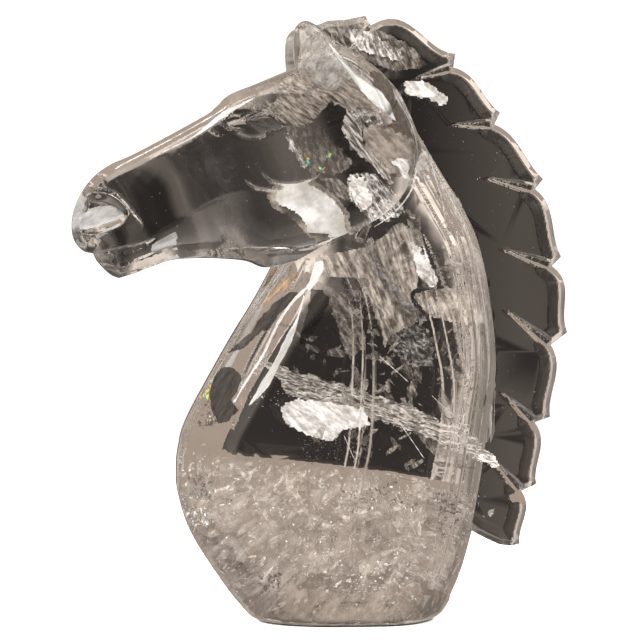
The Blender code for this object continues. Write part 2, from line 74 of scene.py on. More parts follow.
FLUTE_START = 0.0055  # from the nape's outline to the first of them
FLUTE_PITCH = 0.0039
CHEEK_RIM_WIDTH = 0.0022  # of the line inside the round edge of the cheek
CHEEK_RIM_DEPTH = 0.0012
EAR_THICKNESS = 0.0085  # at the tip
EAR_HOLLOW_WIDTH = 0.0052
EAR_HOLLOW_DEPTH = 0.0030
LINE_WIDTH = 0.0016  # of the lines drawn across the cheek
LINE_DEPTH = 0.0005
EYE_LINE_WIDTH = 0.0013
EYE_LINE_DEPTH = 0.0002
STRIP = 4.5  # how far in from the head's outline a narrow facet runs inside its bevel, in units
STRIP_SLOPE = 0.6
STRIP_SHARE = 0.945  # share of the head's thickness where the facet ends
NOSTRIL_DEPTH = 0.0024
MOUTH_WIDTH = 0.0020
MOUTH_DEPTH = 0.0005
BASE_ROUNDING = 0.0030  # of the edge round the underside

# Mesh of the carving
CELL = 0.0005  # size of the cells that each get one point of the surface
VIEW_CELL = 0.00025  # size of the cells that the side view is worked out in
ROOM = 0.0040  # kept free round the form where it is sampled
TILE = 16  # cells along each edge of the tiles that the side view is worked out by
SLAB = 8  # layers of points that are sampled at once
CURVE_STEPS = 8  # straight steps from each point of a curve to the next
HOLD = 0.03  # how strongly a point is held to the middle of its cell's crossings
CELL_MARGIN = 0.03  # share of a cell, at each side of it, that its point stays out of
HALVINGS = 7  # of a grid edge in the search for its crossing
SLOPE_STEP = 0.2  # share of a cell, to each side of a point, over which the form's slope there is measured
TRIANGLES = 190000

# Side outlines in units, as (x, z) points: each list is one smooth stretch, and stretches meet at corners
# The neck's outline runs on below the underside, so that its edges stay straight down to the cut
CHEST = [(3, -40), (-31, 0), (-40, 11), (-51, 28), (-55.4, 41), (-56.2, 49), (-55.5, 57), (-52.5, 67),
         (-40, 90), (-31.5, 104), (-26, 114), (-20, 126), (-12, 145), (-4, 165), (5, 178), (12, 180)]
NAPE = [(12, 180), (18.5, 175), (26, 161.5), (39.5, 138.5), (45.5, 125.5), (49.5, 106.5), (51.5, 84),
        (49, 64.5), (45, 39), (40, 19), (35.7, 8), (31.5, 0), (3, -40)]
NECK = [CHEST, NAPE]
HEAD = [
    [(-83.5, 121), (-87, 122), (-90, 126), (-90.5, 132), (-88.5, 139), (-84, 145.5), (-78, 150),
     (-69.3, 154), (-48, 165.6), (-43.5, 169), (-39, 173), (-30.5, 176.5), (-20, 181), (-11, 184.5),
     (-1.5, 186), (8, 182.5), (15.5, 176), (20.5, 167), (24, 157), (23.5, 148), (20.5, 139.5), (14, 132),
     (5, 126.5), (-6, 122), (-17, 118.5), (-26, 116.5), (-33, 118.7), (-45, 119.5), (-56.5, 119),
     (-63, 117), (-69.5, 114.5), (-75, 112.8)],
    [(-75, 112.8), (-78, 114.2), (-82, 118.2), (-83.5, 121)],
]
EAR = [
    [(-17.5, 178), (-18.6, 186), (-18.4, 193), (-16.8, 196), (-14, 196.9), (-11, 195.6)],
    [(-11, 195.6), (-4, 190), (4, 185), (12, 178.5), (15, 171), (13, 165)],
    [(13, 165), (3.5, 166), (-7, 170.5), (-14, 174), (-17.5, 178)],
]

# The mane from brow to shoulder: each tooth's tip, the swell of its edge, and the notch behind the tip,
# as its distance on along the crest and its depth
MANE_FRONT = [(-15, 180), (-13, 190), (-10.3, 196.4), (-6, 198.2), (0, 198.6)]
TEETH = [
    # tip x, tip z, swell, notch on, notch depth
    (6.5, 200.0, 0.0, 3.0, 2.2),
    (36.8, 187.6, 4.7, 2.0, 4.1),
    (51.8, 168.1, 1.7, 2.1, 3.8),
    (66.4, 146.0, 1.6, 2.0, 3.8),
    (72.5, 120.1, 2.0, 2.6, 3.6),
    (74.6, 94.8, 2.7, 4.6, 5.3),
    (68.7, 66.6, 2.1, 2.9, 4.7),
    (64.1, 44.1, 2.0, 3.4, 4.3),
    (58.5, 24.2, 1.8, 0.0, 0.0),
]
TOOTH_HOLLOW = 0.8  # share of a tooth's edge after which it swells no more, and dips in towards the tip
TOOTH_STEPS = 13
MANE_FOOT = [(55.7, 23.5), (51.6, 24.0), (47.4, 25.9), (43.8, 27.8)]
MANE_INSIDE = [(36, 34), (40, 62), (42, 84), (38, 112), (28, 138), (14, 160), (0, 174)]
GOUGE_ENDS = [(0, 187), (22, 179), (34.5, 164), (46, 146.5), (51.5, 123), (53, 103), (52, 75.5), (48, 54)]

# Half thickness in units: of the neck by height, and of the head by distance from the lips towards the poll
NECK_HALF = [(-6, 22), (30, 22), (60, 22), (90, 22), (110, 21.8), (130, 20.5), (150, 18.5), (170, 15.5),
             (185, 12)]
FLARE_EDGE = [(-56, 56.5), (-40, 55), (-7, 51.7), (40, 44.6), (52, 42)]
FLARE = 0.15  # slope of the neck's sides below that line, outwards to the base
HEAD_HALF = [(-4, 8.5), (3, 10.5), (12, 12), (24, 11.5), (38, 12.5), (50, 15.5), (62, 19), (76, 21.5),
             (92, 22.8), (106, 22), (120, 19)]
HEAD_AXIS = [(-90, 129), (4, 161)]

# How the surface turns over towards the outline: reach of the turn, share of the thickness left at the
# outline, then the same for the crisp bevel outside it
NECK_EDGE = (20, 0.10, 14, 0.24)
HEAD_EDGE = (14, 0.80, 4.0, 0.50)
NAPE_REACH = 15  # the neck turns over faster where it meets the mane
NAPE_SHARE = 0.2
CHEEK_STEP = 1.8  # how far the cheek stands over the neck beside it
CHEEK_BLEND = 22  # distance over which the neck comes down beside it
CHEEK_RIM_IN = 2.2  # how far inside the edge of the cheek its line runs
CHEEK_RIM_START = (-14, 0)  # where that line begins and has its full depth, along X
CHEST_FADE = 42  # height below which the chest's bevel moves out and fades into the round of the base

# Carved lines in units
CHEST_LINE = [(-14.6, 118), (-18.2, 109), (-22.4, 102), (-26.6, 94), (-32, 84), (-36, 74.5), (-38.6, 64)]
LOCKS = [
    [(2, 113), (4, 103), (5.2, 90), (5, 73.5), (4, 58), (2, 47), (-2, 21)],
    [(22.5, 128.5), (28, 113), (33, 93), (35.5, 78), (35, 64), (32, 49), (27.5, 32)],
]
CREST_LINE = [(-68, 125.5), (-59.5, 130), (-49, 136), (-40.5, 140), (-29.5, 142)]
CREST_FALL = 0.16  # slope of the cheek below that line, towards the jaw
CREST_REACH = 16
CREST_FADES = (0.25, 0.4)  # shares of the line's length over which the slope sets in and runs out
BROW = [(-44, 165), (-38, 169.5), (-31, 171.8), (-22, 172.3), (-12, 171.5), (0, 172), (12, 175)]
BROW_FALL = 0.42  # slope of the forehead above that line, in towards the poll
EYE = (-28, 163.2)
EYE_HALF_LENGTH = 6.4
EYE_HALF_HEIGHT = 2.7
EYE_SLOPE = -0.12
EYE_SWELL = 0.25
EYE_RISE = 0.625  # share of the way in over which the ball swells
EYE_LINES = [
    [(-37, 163.8), (-32.5, 166.6), (-28.5, 167.3), (-23, 165.5), (-19, 162.5)],
    [(-43.5, 165), (-41.5, 162.2), (-38, 160.8), (-34, 161.2)],
]
CHEEK_LINES = [
    [(-29.5, 147), (-25, 143.8), (-18, 143.4), (-10, 146)],
    [(-31, 120.8), (-24, 122.8), (-15.5, 121.5), (-8, 123.5)],
    [(26, 157), (29, 146), (30.5, 131.5)],
    [(-20, 178.5), (-13, 174), (-8.5, 171.5)],
]
NOSTRIL = [(-87.5, 141), (-80, 140.3), (-75.5, 138), (-72.2, 133.8), (-74.5, 129.5), (-83, 127),
           (-88.5, 128.5)]
NOSTRIL_SLOPE = 3.2  # width of the slope from its edge down to its floor
NOSTRIL_RIM = [(-86.5, 142.5), (-80.5, 142.2), (-75.5, 139.8), (-70.5, 134), (-67, 129.5)]
MOUTH = [(-85, 120), (-76, 122), (-69, 123.3), (-63, 126)]
EAR_HOLLOW = [(-9, 189.5), (-1, 181), (7, 172.5), (12.5, 164.5)]
EAR_TIP = 196
EAR_OUTSIDE = 18.2  # distance of an ear's outer side from the middle of the head, at its tip
EAR_SPREAD = 0.2  # outward for each unit down from the tip
EAR_THICKENING = 0.09  # of half the thickness, for each unit down
EAR_EDGE_REACH = 4.5

CUT_END = 0.02  # share of a cut's width that is left where it runs out
LEAF_SKEW = 1.5  # how far past its middle a leaf is broadest
BELOW_GROUND = 0.1  # share of the base's rounding by which the form runs on below its underside
NORMAL_STEP = 0.00025  # over which the form's slope is measured for its normals
EDGE_STEP = 0.0004  # from a corner into its face, to tell which side of an edge it is on
CREASE = 0.94  # cosine of the angle past which two faces keep an edge between them
MERGE = 0.00001  # distance within which the points of the two halves become one
TINY = 1e-12  # least length that a direction is divided by

# The view of the photograph
CAMERA_AZIMUTH = -5.7
CAMERA_ELEVATION = 0.0
CAMERA_DISTANCE = 1.0
CAMERA_TARGET = (-0.0083, 0, 0.0989)
CAMERA_SPAN = 0.21286
CAMERA_SENSOR = 36

QUARTZ_COLOUR = (0.975, 0.965, 0.955)
QUARTZ_SHADOW = (0.86, 0.84, 0.82)  # what it lets through where it casts its shadow
QUARTZ_IOR = 1.544
LEVEL = 0.00001  # height below which a face of the carving belongs to its underside
GROUND_GRAIN = 400
GROUND_COLOURS = [(0.20, 0.17, 0.145), (0.34, 0.29, 0.25)]
GROUND_ROUGHNESS = 0.8

DISC_CORNERS = 96
FLOOR_RADIUS = 3.0
FLOOR_HEIGHT = -0.0006
FLOOR_COLOUR = (0.86, 0.86, 0.86)
FLOOR_ROUGHNESS = 0.9
TABLE_RADIUS = 0.375
TABLE_HEIGHT = -0.0003
TABLE_COLOUR = (0.40, 0.32, 0.262)
WHITE = 1.25  # strength of the pale surroundings
ROOM_HEIGHTS = [
    # elevation, colour that the stone shows of the room there
    (-60, (0.42, 0.355, 0.30)),
    (-26, (0.34, 0.285, 0.24)),
    (-20, (0.52, 0.46, 0.41)),
    (-13, (0.46, 0.40, 0.35)),
    (-9.5, (0.10, 0.085, 0.075)),
    (-7, (0.05, 0.042, 0.038)),
    (-4, (0.040, 0.034, 0.031)),
    (3, (0.024, 0.020, 0.018)),
    (8.5, (0.020, 0.017, 0.016)),
    (11, (0.040, 0.035, 0.032)),
    (17, (0.095, 0.084, 0.077)),
    (23, (0.22, 0.20, 0.185)),
    (29, (0.06, 0.052, 0.047)),
    (55, (0.12, 0.11, 0.10)),
    (72, (0.95, 0.90, 0.86)),
]
ROOM_SIDES = [
    # sine of the azimuth, how much of SIDE_COLOUR is added there
    (-1.0, 0.05), (-0.92, 0.5), (-0.8, 0.5), (-0.7, 0.4), (-0.6, 0.35), (-0.5, 0.5), (-0.3, 1.15), (-0.2, 1.2),
    (-0.12, 0.25), (-0.05, 0.06), (0.03, 0.0), (0.13, 0.0), (0.165, 0.15), (0.22, 0.15), (0.27, 0.02), (0.33, 0.0),
    (0.44, 0.0), (0.475, 0.05), (0.53, 0.15), (0.6, 0.3), (0.7, 0.4), (0.8, 0.5), (0.92, 0.5), (1.0, 0.05),
]
LOW_SIDES = [
    # the same, for what is added low down
    (-1.0, 0.0), (0.27, 0.0), (0.33, 0.8), (0.5, 0.8), (0.6, 0.75), (0.7, 0.4), (0.8, 0.0), (1.0, 0.0),
]
LOW_DOWN = [(-90, 1.0), (-2, 1.0), (1, 0.0), (90, 0.0)]  # elevation, how much of LOW_SIDES is added there
SIDE_COLOUR = (0.50, 0.43, 0.37)
ROOM_NOISE = 4.0
ROOM_NOISE_RANGE = (0.35, 0.65)
ROOM_UNEVEN = (0.75, 1.25)  # strength of the room at the ends of that range
SOFTBOXES = [
    # name, azimuth, elevation, distance, width, height, power
    ("overhead_softbox", 180, 78, 0.8, 0.7, 0.4, 5),
    ("left_softbox", -100, 25, 0.9, 0.30, 0.6, 6),
    ("right_softbox", 70, 25, 1.0, 0.15, 0.7, 3),
    ("front_fill", -25, 35, 1.0, 0.6, 0.6, 22),
    ("back_fill", 160, 35, 1.0, 0.6, 0.6, 8),
]
BOUNCES = 24
GLOSSY_BOUNCES = 12
DIFFUSE_BOUNCES = 2
TRANSPARENT_BOUNCES = 32  # through what a finish's opacity leaves out

# Crumpled sheets inside the stone, in units of the side view
SHEETS = [
    # name, finish, depth along Y, lean of the depth along X and Z, raggedness of the edge, crumple, outline
    ("veil_behind_eye", "grey_veil", -3, (0.2, -0.1), 0.7, 0.5,
     [(-21, 163), (-9.5, 164.5), (-4, 158), (3, 151), (-2, 146.5), (-13.5, 147.5), (-17, 156)]),
    ("bright_edge_of_veil", "white_fracture", -4, (0.2, 0.3), 0.7, 0.8,
     [(-21, 161.5), (-18.6, 161), (-15, 154.5), (-12, 149), (-14.5, 148.5), (-18.5, 155)]),
    ("veil_below_crack", "grey_veil", -3, (0.2, 0.1), 0.6, 0.6,
     [(-10, 146.5), (-1.5, 146), (4, 137), (-3, 139)]),
    ("crumpled_forehead", "grey_veil", -6, (0.1, -0.5), 0.8, 0.8,
     [(-38, 171), (-28, 176), (-16, 180), (-5, 182), (4, 178), (-4, 174), (-14, 171.5), (-26, 171.5)]),
    ("veil_in_ear_root", "tan_veil", 2, (0.2, 0.1), 0.7, 0.8,
     [(-8, 178), (4, 181), (14, 174), (20, 166), (14, 162), (6, 168), (-2, 172)]),
    ("veil_in_mane_top", "grey_veil", 1, (0.05, 0.05), 0.7, 0.6,
     [(-8, 197), (6, 198), (24, 190), (28, 183), (16, 181), (4, 186), (-4, 191)]),
    ("crumpled_brow", "grey_veil", -1, (0.1, 0.4), 0.8, 0.8,
     [(-34, 169), (-27, 171), (-14, 171), (-9, 166), (-14, 163), (-24, 165.5)]),
    ("crumbled_band", "white_fracture", 0, (-0.2, 0.3), 0.8, 1.0,
     [(-5, 178), (5, 176), (8, 170), (13, 158), (17.5, 149), (13, 147), (7.5, 156), (1, 167)]),
    ("dome_behind_cheek", "tan_veil", 1, (0.1, -0.3), 0.5, 0.5,
     [(7, 163), (16, 163.5), (26, 158), (27, 152), (15, 152.5), (8, 156)]),
    ("bright_chip_behind_cheek", "bright_fracture", -2, (0.2, 0.4), 0.8, 0.7,
     [(14.5, 152.5), (23, 153.5), (25, 148), (21, 146), (15.5, 149)]),
    ("splintered_patch", "white_fracture", -4, (0.3, 0.5), 0.9, 0.8,
     [(-0.5, 147.5), (8, 148), (16, 140), (20, 134.5), (12, 130), (6, 133), (0, 138.5)]),
    ("bright_side_of_patch", "bright_fracture", -5, (0.1, 0.3), 0.8, 0.5,
     [(0, 146.5), (6, 146), (8, 139), (5.5, 135), (1, 139)]),
    # painted light: the bright image of a softbox that shows in the cheek, as a cream sheet with a tan haze round
    # it
    ("haze_round_cheek_plane", "soft_tan", -7.5, (0.1, 0.15), 0.5, 0.05,
     [(-26.5, 139.5), (-24, 143.5), (-18.2, 145.6), (-11, 145.6), (-5, 141.5), (0.5, 135.5), (1.5, 126.5),
      (-12, 126), (-16, 129.8), (-19.5, 133.2), (-24.5, 135.4)]),
    ("smooth_plane_in_cheek", "cream_plane", -9, (0.1, 0.15), 0.4, 0.05,
     [(-24.1, 138.8), (-22.9, 141.6), (-18.2, 143.6), (-12.3, 144), (-7.4, 141.2), (-1.7, 136), (-0.1, 127.8),
      (-13.4, 127.8), (-14.2, 131.5), (-17.9, 134.8), (-22.7, 136.8)]),
    ("jagged_plane", "tan_plane", -4, (0.25, 0.1), 0.4, 0.4,
     [(-8.4, 119.5), (8.8, 124.2), (17.2, 131.2), (24.7, 127.5), (23.8, 109.7), (21, 107.4), (23.8, 97.6),
      (14.4, 93.9), (12, 89.2), (9.8, 96.7), (4.1, 111.6), (-8.9, 112.5)]),
    ("bright_edge_of_plane", "bright_fracture", -7, (0.3, 0.2), 0.8, 0.5,
     [(20, 125), (24, 122.5), (30, 112), (28, 108.5), (22.5, 113), (21, 119)]),
    ("plane_towards_mane", "tan_plane", -3, (-0.2, 0.2), 0.4, 0.3,
     [(21, 107.4), (33.5, 109.7), (39.2, 109.7), (44.3, 102.3), (43.8, 96.7), (34, 97.6), (26.5, 100.4)]),
    ("wing_of_plane", "grey_veil", 0, (0.3, 0.3), 0.6, 0.6,
     [(-8.9, 111.2), (3.2, 105.2), (7, 90.2), (0, 85), (-4.7, 99.5)]),
    ("dark_cracks_of_plane", "dark_knot", -8, (0.3, 0.1), 1.2, 0.8,
     [(4, 124.5), (7.5, 124), (16, 110), (27, 99), (22, 97.5), (12, 108)]),
    ("knot", "dark_knot", -4, (0.2, 0.5), 1.0, 1.6,
     [(14, 97), (22, 98.5), (28.5, 95), (29, 84.5), (22, 82), (14.5, 88)]),
    ("fracture_band", "streaked_fracture", -1, (0.05, 0.8), 0.8, 0.9,
     [(-25.5, 84.5), (-19, 83), (-5, 79), (10, 74.5), (24, 69.5), (38, 62), (49, 54.5), (51, 49.5), (45, 51),
      (33, 57), (18, 63), (3, 67.5), (-10, 71), (-20, 74)]),
    ("bright_patch", "bright_fracture", -5, (0.1, 0.3), 0.6, 0.3,
     [(-23, 69.6), (-19.9, 72.6), (-14.9, 73.1), (0, 71), (6, 69.1), (8, 64.1), (-1, 62.6),
      (-5, 58.5), (-12.4, 60.1), (-21.2, 64.6)]),
    ("lower_wing_of_band", "grey_veil", -4, (0.3, 0.2), 0.7, 0.5,
     [(18, 66), (24, 64.5), (37, 52), (33, 51), (26, 56)]),
    ("fractures_in_mane_top", "white_fracture", 0, (0.1, 0.1), 0.8, 0.5,
     [(0.5, 196), (9, 195), (19, 188), (19, 184), (8, 187), (1, 190.5)]),
    ("fractures_in_second_tooth", "bright_fracture", 0, (0.1, 0.1), 0.8, 0.5,
     [(19, 179), (27, 179), (35.5, 173.5), (33, 170), (26, 172.5), (19.5, 174)]),
]
SHEET_CELL = 0.00045
PATCH_MARGIN = 4  # cells round the outline of a sheet or skin
CORNER_CUT = 0.15  # share of a side, at each of its ends, that is cut off an outline's corners
FRAY_SIZE = 0.0022  # of the lumps that the ragged edges and holes have
FRAY_LOSS = 0.15  # how far the ragged edge stays inside the outline on the whole
CRUMPLE_SIZE = 0.0035
LUMP_OCTAVES = (1.0, 2.0, 3)  # fall, spacing and number of the noise's octaves

FINISHES = {
    # name: dark colour, light colour, least and most opacity, size, stretch and tilt of the grain, roughness
    "grey_veil": ((0.13, 0.108, 0.090), (0.36, 0.32, 0.28), (0.25, 0.85), 0.0010, 3.5, -0.5, 0.25),
    "tan_veil": ((0.16, 0.13, 0.11), (0.38, 0.32, 0.27), (0.35, 0.85), 0.0030, 2.0, -0.9, 0.3),
    "white_fracture": ((0.20, 0.17, 0.15), (0.85, 0.81, 0.77), (0.05, 0.95), 0.0010, 3.5, -0.45, 0.2),
    "streaked_fracture": ((0.16, 0.135, 0.115), (0.62, 0.57, 0.52), (0.25, 0.96), 0.0008, 7.0, -1.15, 0.2),
    "bright_fracture": ((0.60, 0.55, 0.51), (0.95, 0.93, 0.90), (0.70, 1.0), 0.0016, 3.0, -0.9, 0.3),
    # painted light: cream for the image of a softbox in the cheek, then tan for the haze round it
    "cream_plane": ((0.50, 0.47, 0.43), (0.74, 0.735, 0.72), (0.70, 1.0), 0.0100, 1.0, 0.0, 0.4),
    "soft_tan": ((0.26, 0.21, 0.16), (0.50, 0.44, 0.37), (0.10, 0.70), 0.0060, 1.0, 0.0, 0.4),
    "brown_crumple": ((0.035, 0.028, 0.023), (0.36, 0.310, 0.261), (0.55, 0.98), 0.0009, 5.0, -0.95, 0.3),
    # painted shade, brownish, for the dark glass round the dome
    "painted_brown_shade": ((0.012, 0.009, 0.008), (0.11, 0.082, 0.060), (0.70, 1.0), 0.0014, 5.0, -0.5, 0.3),
    "brown_dome": ((0.13, 0.105, 0.085), (0.38, 0.325, 0.275), (0.80, 1.0), 0.0016, 3.0, -0.9, 0.3),
    "splinters": ((0.07, 0.060, 0.052), (0.66, 0.605, 0.55), (0.30, 0.98), 0.0009, 7.0, -0.70, 0.25),
    "ear_white": ((0.62, 0.61, 0.59), (0.74, 0.73, 0.71), (0.97, 1.0), 0.0060, 6.0, 0.6, 0.3),
    "tan_plane": ((0.18, 0.150, 0.124), (0.60, 0.53, 0.465), (0.50, 0.97), 0.0014, 5.0, -0.35, 0.3),
    "milky_haze": ((0.36, 0.30, 0.25), (0.62, 0.55, 0.49), (0.0, 0.34), 0.0030, 2.0, 0.8, 0.5),
    # painted highlight: tan and pale streaks for the light the flutes catch
    "painted_flute_streaks": ((0.34, 0.29, 0.25), (0.80, 0.74, 0.68), (0.0, 0.80), 0.0009, 24.0, 0.03, 0.4),
    # painted highlight: pale skins where the bevels and grooves catch light
    "painted_highlight": ((0.58, 0.56, 0.54), (0.80, 0.79, 0.77), (0.75, 1.0), 0.0040, 6.0, 0.6, 0.3),
    "iron_stain": ((0.10, 0.06, 0.035), (0.48, 0.30, 0.17), (0.30, 0.96), 0.0012, 5.0, 0.75, 0.35),
    # painted shade, near black
    "painted_dark_shade": ((0.004, 0.003, 0.003), (0.055, 0.047, 0.042), (0.85, 1.0), 0.0012, 4.0, 0.6, 0.4),
    # painted shade, near black
    "painted_black_shade": ((0.001, 0.001, 0.001), (0.012, 0.010, 0.009), (0.75, 1.0), 0.0030, 3.0, 0.6, 0.4),
    "foot_haze": ((0.26, 0.21, 0.17), (0.42, 0.355, 0.305), (0.30, 0.90), 0.0030, 2.0, 0.6, 0.5),
    "ground_white": ((0.34, 0.325, 0.315), (0.55, 0.54, 0.53), (0.75, 1.0), 0.0024, 4.0, 1.1, 0.5),
    "ground_grey": ((0.30, 0.28, 0.26), (0.50, 0.47, 0.44), (0.20, 0.55), 0.0015, 2.0, 0.6, 0.5),
    "dark_knot": ((0.004, 0.003, 0.003), (0.30, 0.28, 0.26), (0.30, 1.0), 0.0010, 2.5, -0.7, 0.15),
    "white_fleck": ((0.55, 0.50, 0.45), (1.0, 0.98, 0.96), (0.25, 0.95), 0.0010, 1.5, 0.5, 0.3),
    "pale_wisp": ((0.45, 0.39, 0.33), (0.90, 0.83, 0.77), (0.05, 0.55), 0.0014, 4.0, 0.8, 0.4),
    "dark_fleck": ((0.010, 0.009, 0.009), (0.12, 0.10, 0.09), (0.20, 0.85), 0.0010, 1.5, 0.5, 0.3),
}
GRAIN_DETAIL = 5.0
GRAIN_ROUGHNESS = 0.65
GRAIN_RANGE = (0.38, 0.62)  # of the grain's noise, from the dark colour to the light one

# Fields of small flakes, in units
FIELDS = [
    # name, finish, count, lowest corner, highest corner, least and greatest size, length for the width
    ("haze_in_base", "milky_haze", 420, (-52, -24, 3), (46, 24, 54), (5.0, 11.0), 1.6),
    ("wisps_in_base", "pale_wisp", 800, (-56, -27, 1), (50, 27, 54), (0.8, 3.0), 2.4),
    ("flecks_in_base", "white_fleck", 2400, (-56, -28, 1), (50, 28, 54), (0.12, 1.0), 1.8),
    ("dark_flecks_in_base", "dark_fleck", 420, (-56, -28, 1), (50, 28, 56), (0.15, 0.8), 1.6),
    ("flecks_under_patch", "white_fleck", 260, (-16, -10, 53), (6, 8, 60), (0.1, 0.4), 1.2),
    ("flecks_above_patch", "white_fleck", 90, (-30, -12, 70), (0, 8, 76), (0.2, 0.8), 1.5),
    ("sparkle_in_chest", "white_fleck", 90, (-50.5, -14, 31), (-44, 0, 38), (0.3, 1.8), 1.4),
    ("sparkles_low", "white_fleck", 90, (-10, -24, 8), (22, -16, 20), (0.3, 1.6), 1.8),
    ("smudge_low_left", "dark_fleck", 110, (-30, -26, 6), (-23, -20, 17), (0.3, 1.4), 2.0),
    ("smudge_low_right", "dark_fleck", 60, (11, -27, 1.5), (17, -22, 6), (0.3, 1.2), 2.0),
    ("smudge_right_edge", "dark_fleck", 70, (31, -21, 8), (37, -14, 18), (0.3, 1.2), 2.0),
    ("smudge_in_chest", "dark_fleck", 90, (-52, -16, 40), (-42, -6, 48), (0.3, 1.4), 2.0),
    ("smudge_under_flutes", "dark_fleck", 110, (28, -22, 28), (38, -12, 42), (0.3, 1.3), 2.2),
    ("smudge_in_middle", "dark_fleck", 90, (-4, -24, 36), (22, -18, 46), (0.3, 1.3), 2.4),
    ("dark_chips_in_chest", "dark_fleck", 70, (-48, -10, 63), (-41, -4, 72), (0.4, 2.0), 1.6),
    ("bright_chips_in_chest", "white_fleck", 60, (-47, -16, 64), (-39, -8, 73), (0.2, 1.0), 1.6),
    ("specks_all_through", "white_fleck", 700, (-90, -24, 54), (74, 24, 198), (0.06, 0.3), 1.3),
    ("specks_in_mane", "white_fleck", 500, (0, -4.5, 30), (74, 4.5, 198), (0.06, 0.32), 1.3),
    ("wisps_in_mane", "grey_veil", 160, (0, -4, 30), (74, 4, 198), (1.0, 4.0), 2.6),
    ("wisps_in_neck", "grey_veil", 130, (-20, -18, 60), (45, 18, 130), (1.0, 5.0), 2.6),
]
BELOW_FLARE = 0.0012  # kept between the fields in the base and the line where the neck flares
FLAKE_ROOM = 0.0006  # kept between a flake and the surface of the stone
FLAKE_TRIES = 4  # places tried for each flake
FLAKE_SIDES = 6
FLAKE_UNEVEN = 0.8  # share of the angle between two corners by which a corner may move on
FLAKE_REACH = (0.5, 1.0)  # of its corners, for its size
FLAKE_BEND = 0.5
FACING = 2.0  # how much more the flakes face sideways than any other way
SEED = 11

RAINBOWS = [
    # middle, size
    ((-13, -8, 151), 1.5),
    ((-8.5, -8, 149), 1.0),
    ((-45, -6, 73.5), 2.6),
    ((-6, -7, 153), 1.0),
]
THREADS = [
    # where a fine needle or crack begins and ends
    ((15.3, -6, 40.7), (24, -7.2, 23.4)),
    ((15.8, -12, 66.0), (24.5, -12, 53.5)),
    ((24.4, -12, 63.0), (33.5, -12, 55.5)),
    ((10.0, -10, 87.0), (19.5, -10, 78.5)),
    ((27.0, -14, 74.0), (37.0, -13, 64.5)),
    ((-2.0, -13, 61.0), (1.5, -13, 53.0)),
]
THREAD = 0.00022  # thickness of a thread

# Skins that follow the surface just inside it, in units: what belongs to the carving is on both sides
BOTH_SIDES = (1, -1)
NEAR_SIDE = (-1,)
SKIN_CELL = 0.0002
SKIN_FRAY = 0.5  # raggedness of a skin's edge, for how deep it lies
SKIN_LEVELS = 90  # heights across the stone at which a skin looks for the surface
SKINS = [
    # name, finish, how deep it lies, outline
    ("haze_low_in_foot", "foot_haze", 0.8,
     [(-30, 1), (-36, 8), (-22, 13), (0, 10), (20, 13), (33, 9), (31, 1)]),
    ("matt_hollow_of_ear", "ear_white", 0.25,
     [(-8.2, 190.5), (-3, 184.5), (3.5, 178), (9.5, 173.5), (13, 168.5), (15, 163.2),
      (9.5, 167.5), (4, 172.5), (-1, 179), (-5.2, 185)]),
    ("matt_tip_of_ear", "ground_grey", 0.3,
     [(-17, 185), (-16.5, 193.5), (-12, 196), (-7, 190.5), (-3, 184), (1, 178.5), (-6, 173), (-13, 176)]),
    # painted highlight at the head of the chest's groove
    ("white_head_of_chest_line", "painted_highlight", 0.3,
     [(-11.7, 117.9), (-8.7, 118.6), (-9, 114.6), (-11, 111.4), (-13.3, 108.4), (-14.6, 108.7), (-13, 113)]),
    ("white_floor_of_nostril", "ground_white", 0.2,
     [(-88.6, 133), (-82.4, 136.3), (-77.6, 136.6), (-73.6, 134), (-73.8, 132.2), (-88.2, 127.6)]),
    ("white_edge_of_nostril", "ground_white", 0.2,
     [(-74.4, 131), (-75.2, 129.4), (-79, 127.6), (-83.5, 126.7), (-80, 128.4)]),
    # painted highlight: tan and pale streaks along the carved flutes, for the light they catch
    ("flutes_at_the_nape", "painted_flute_streaks", 0.3,
     [(29, 142), (38, 127), (41, 107), (42, 80), (41.5, 58), (49.5, 58), (50, 80), (48.6, 104), (44, 124),
      (38.5, 138), (32, 147)]),
    ("white_spot_behind_mouth", "ground_white", 0.4,
     [(-64.5, 124), (-57, 128.2), (-56, 126), (-57.5, 123.5), (-64, 120.2), (-65.2, 121.5)]),
]
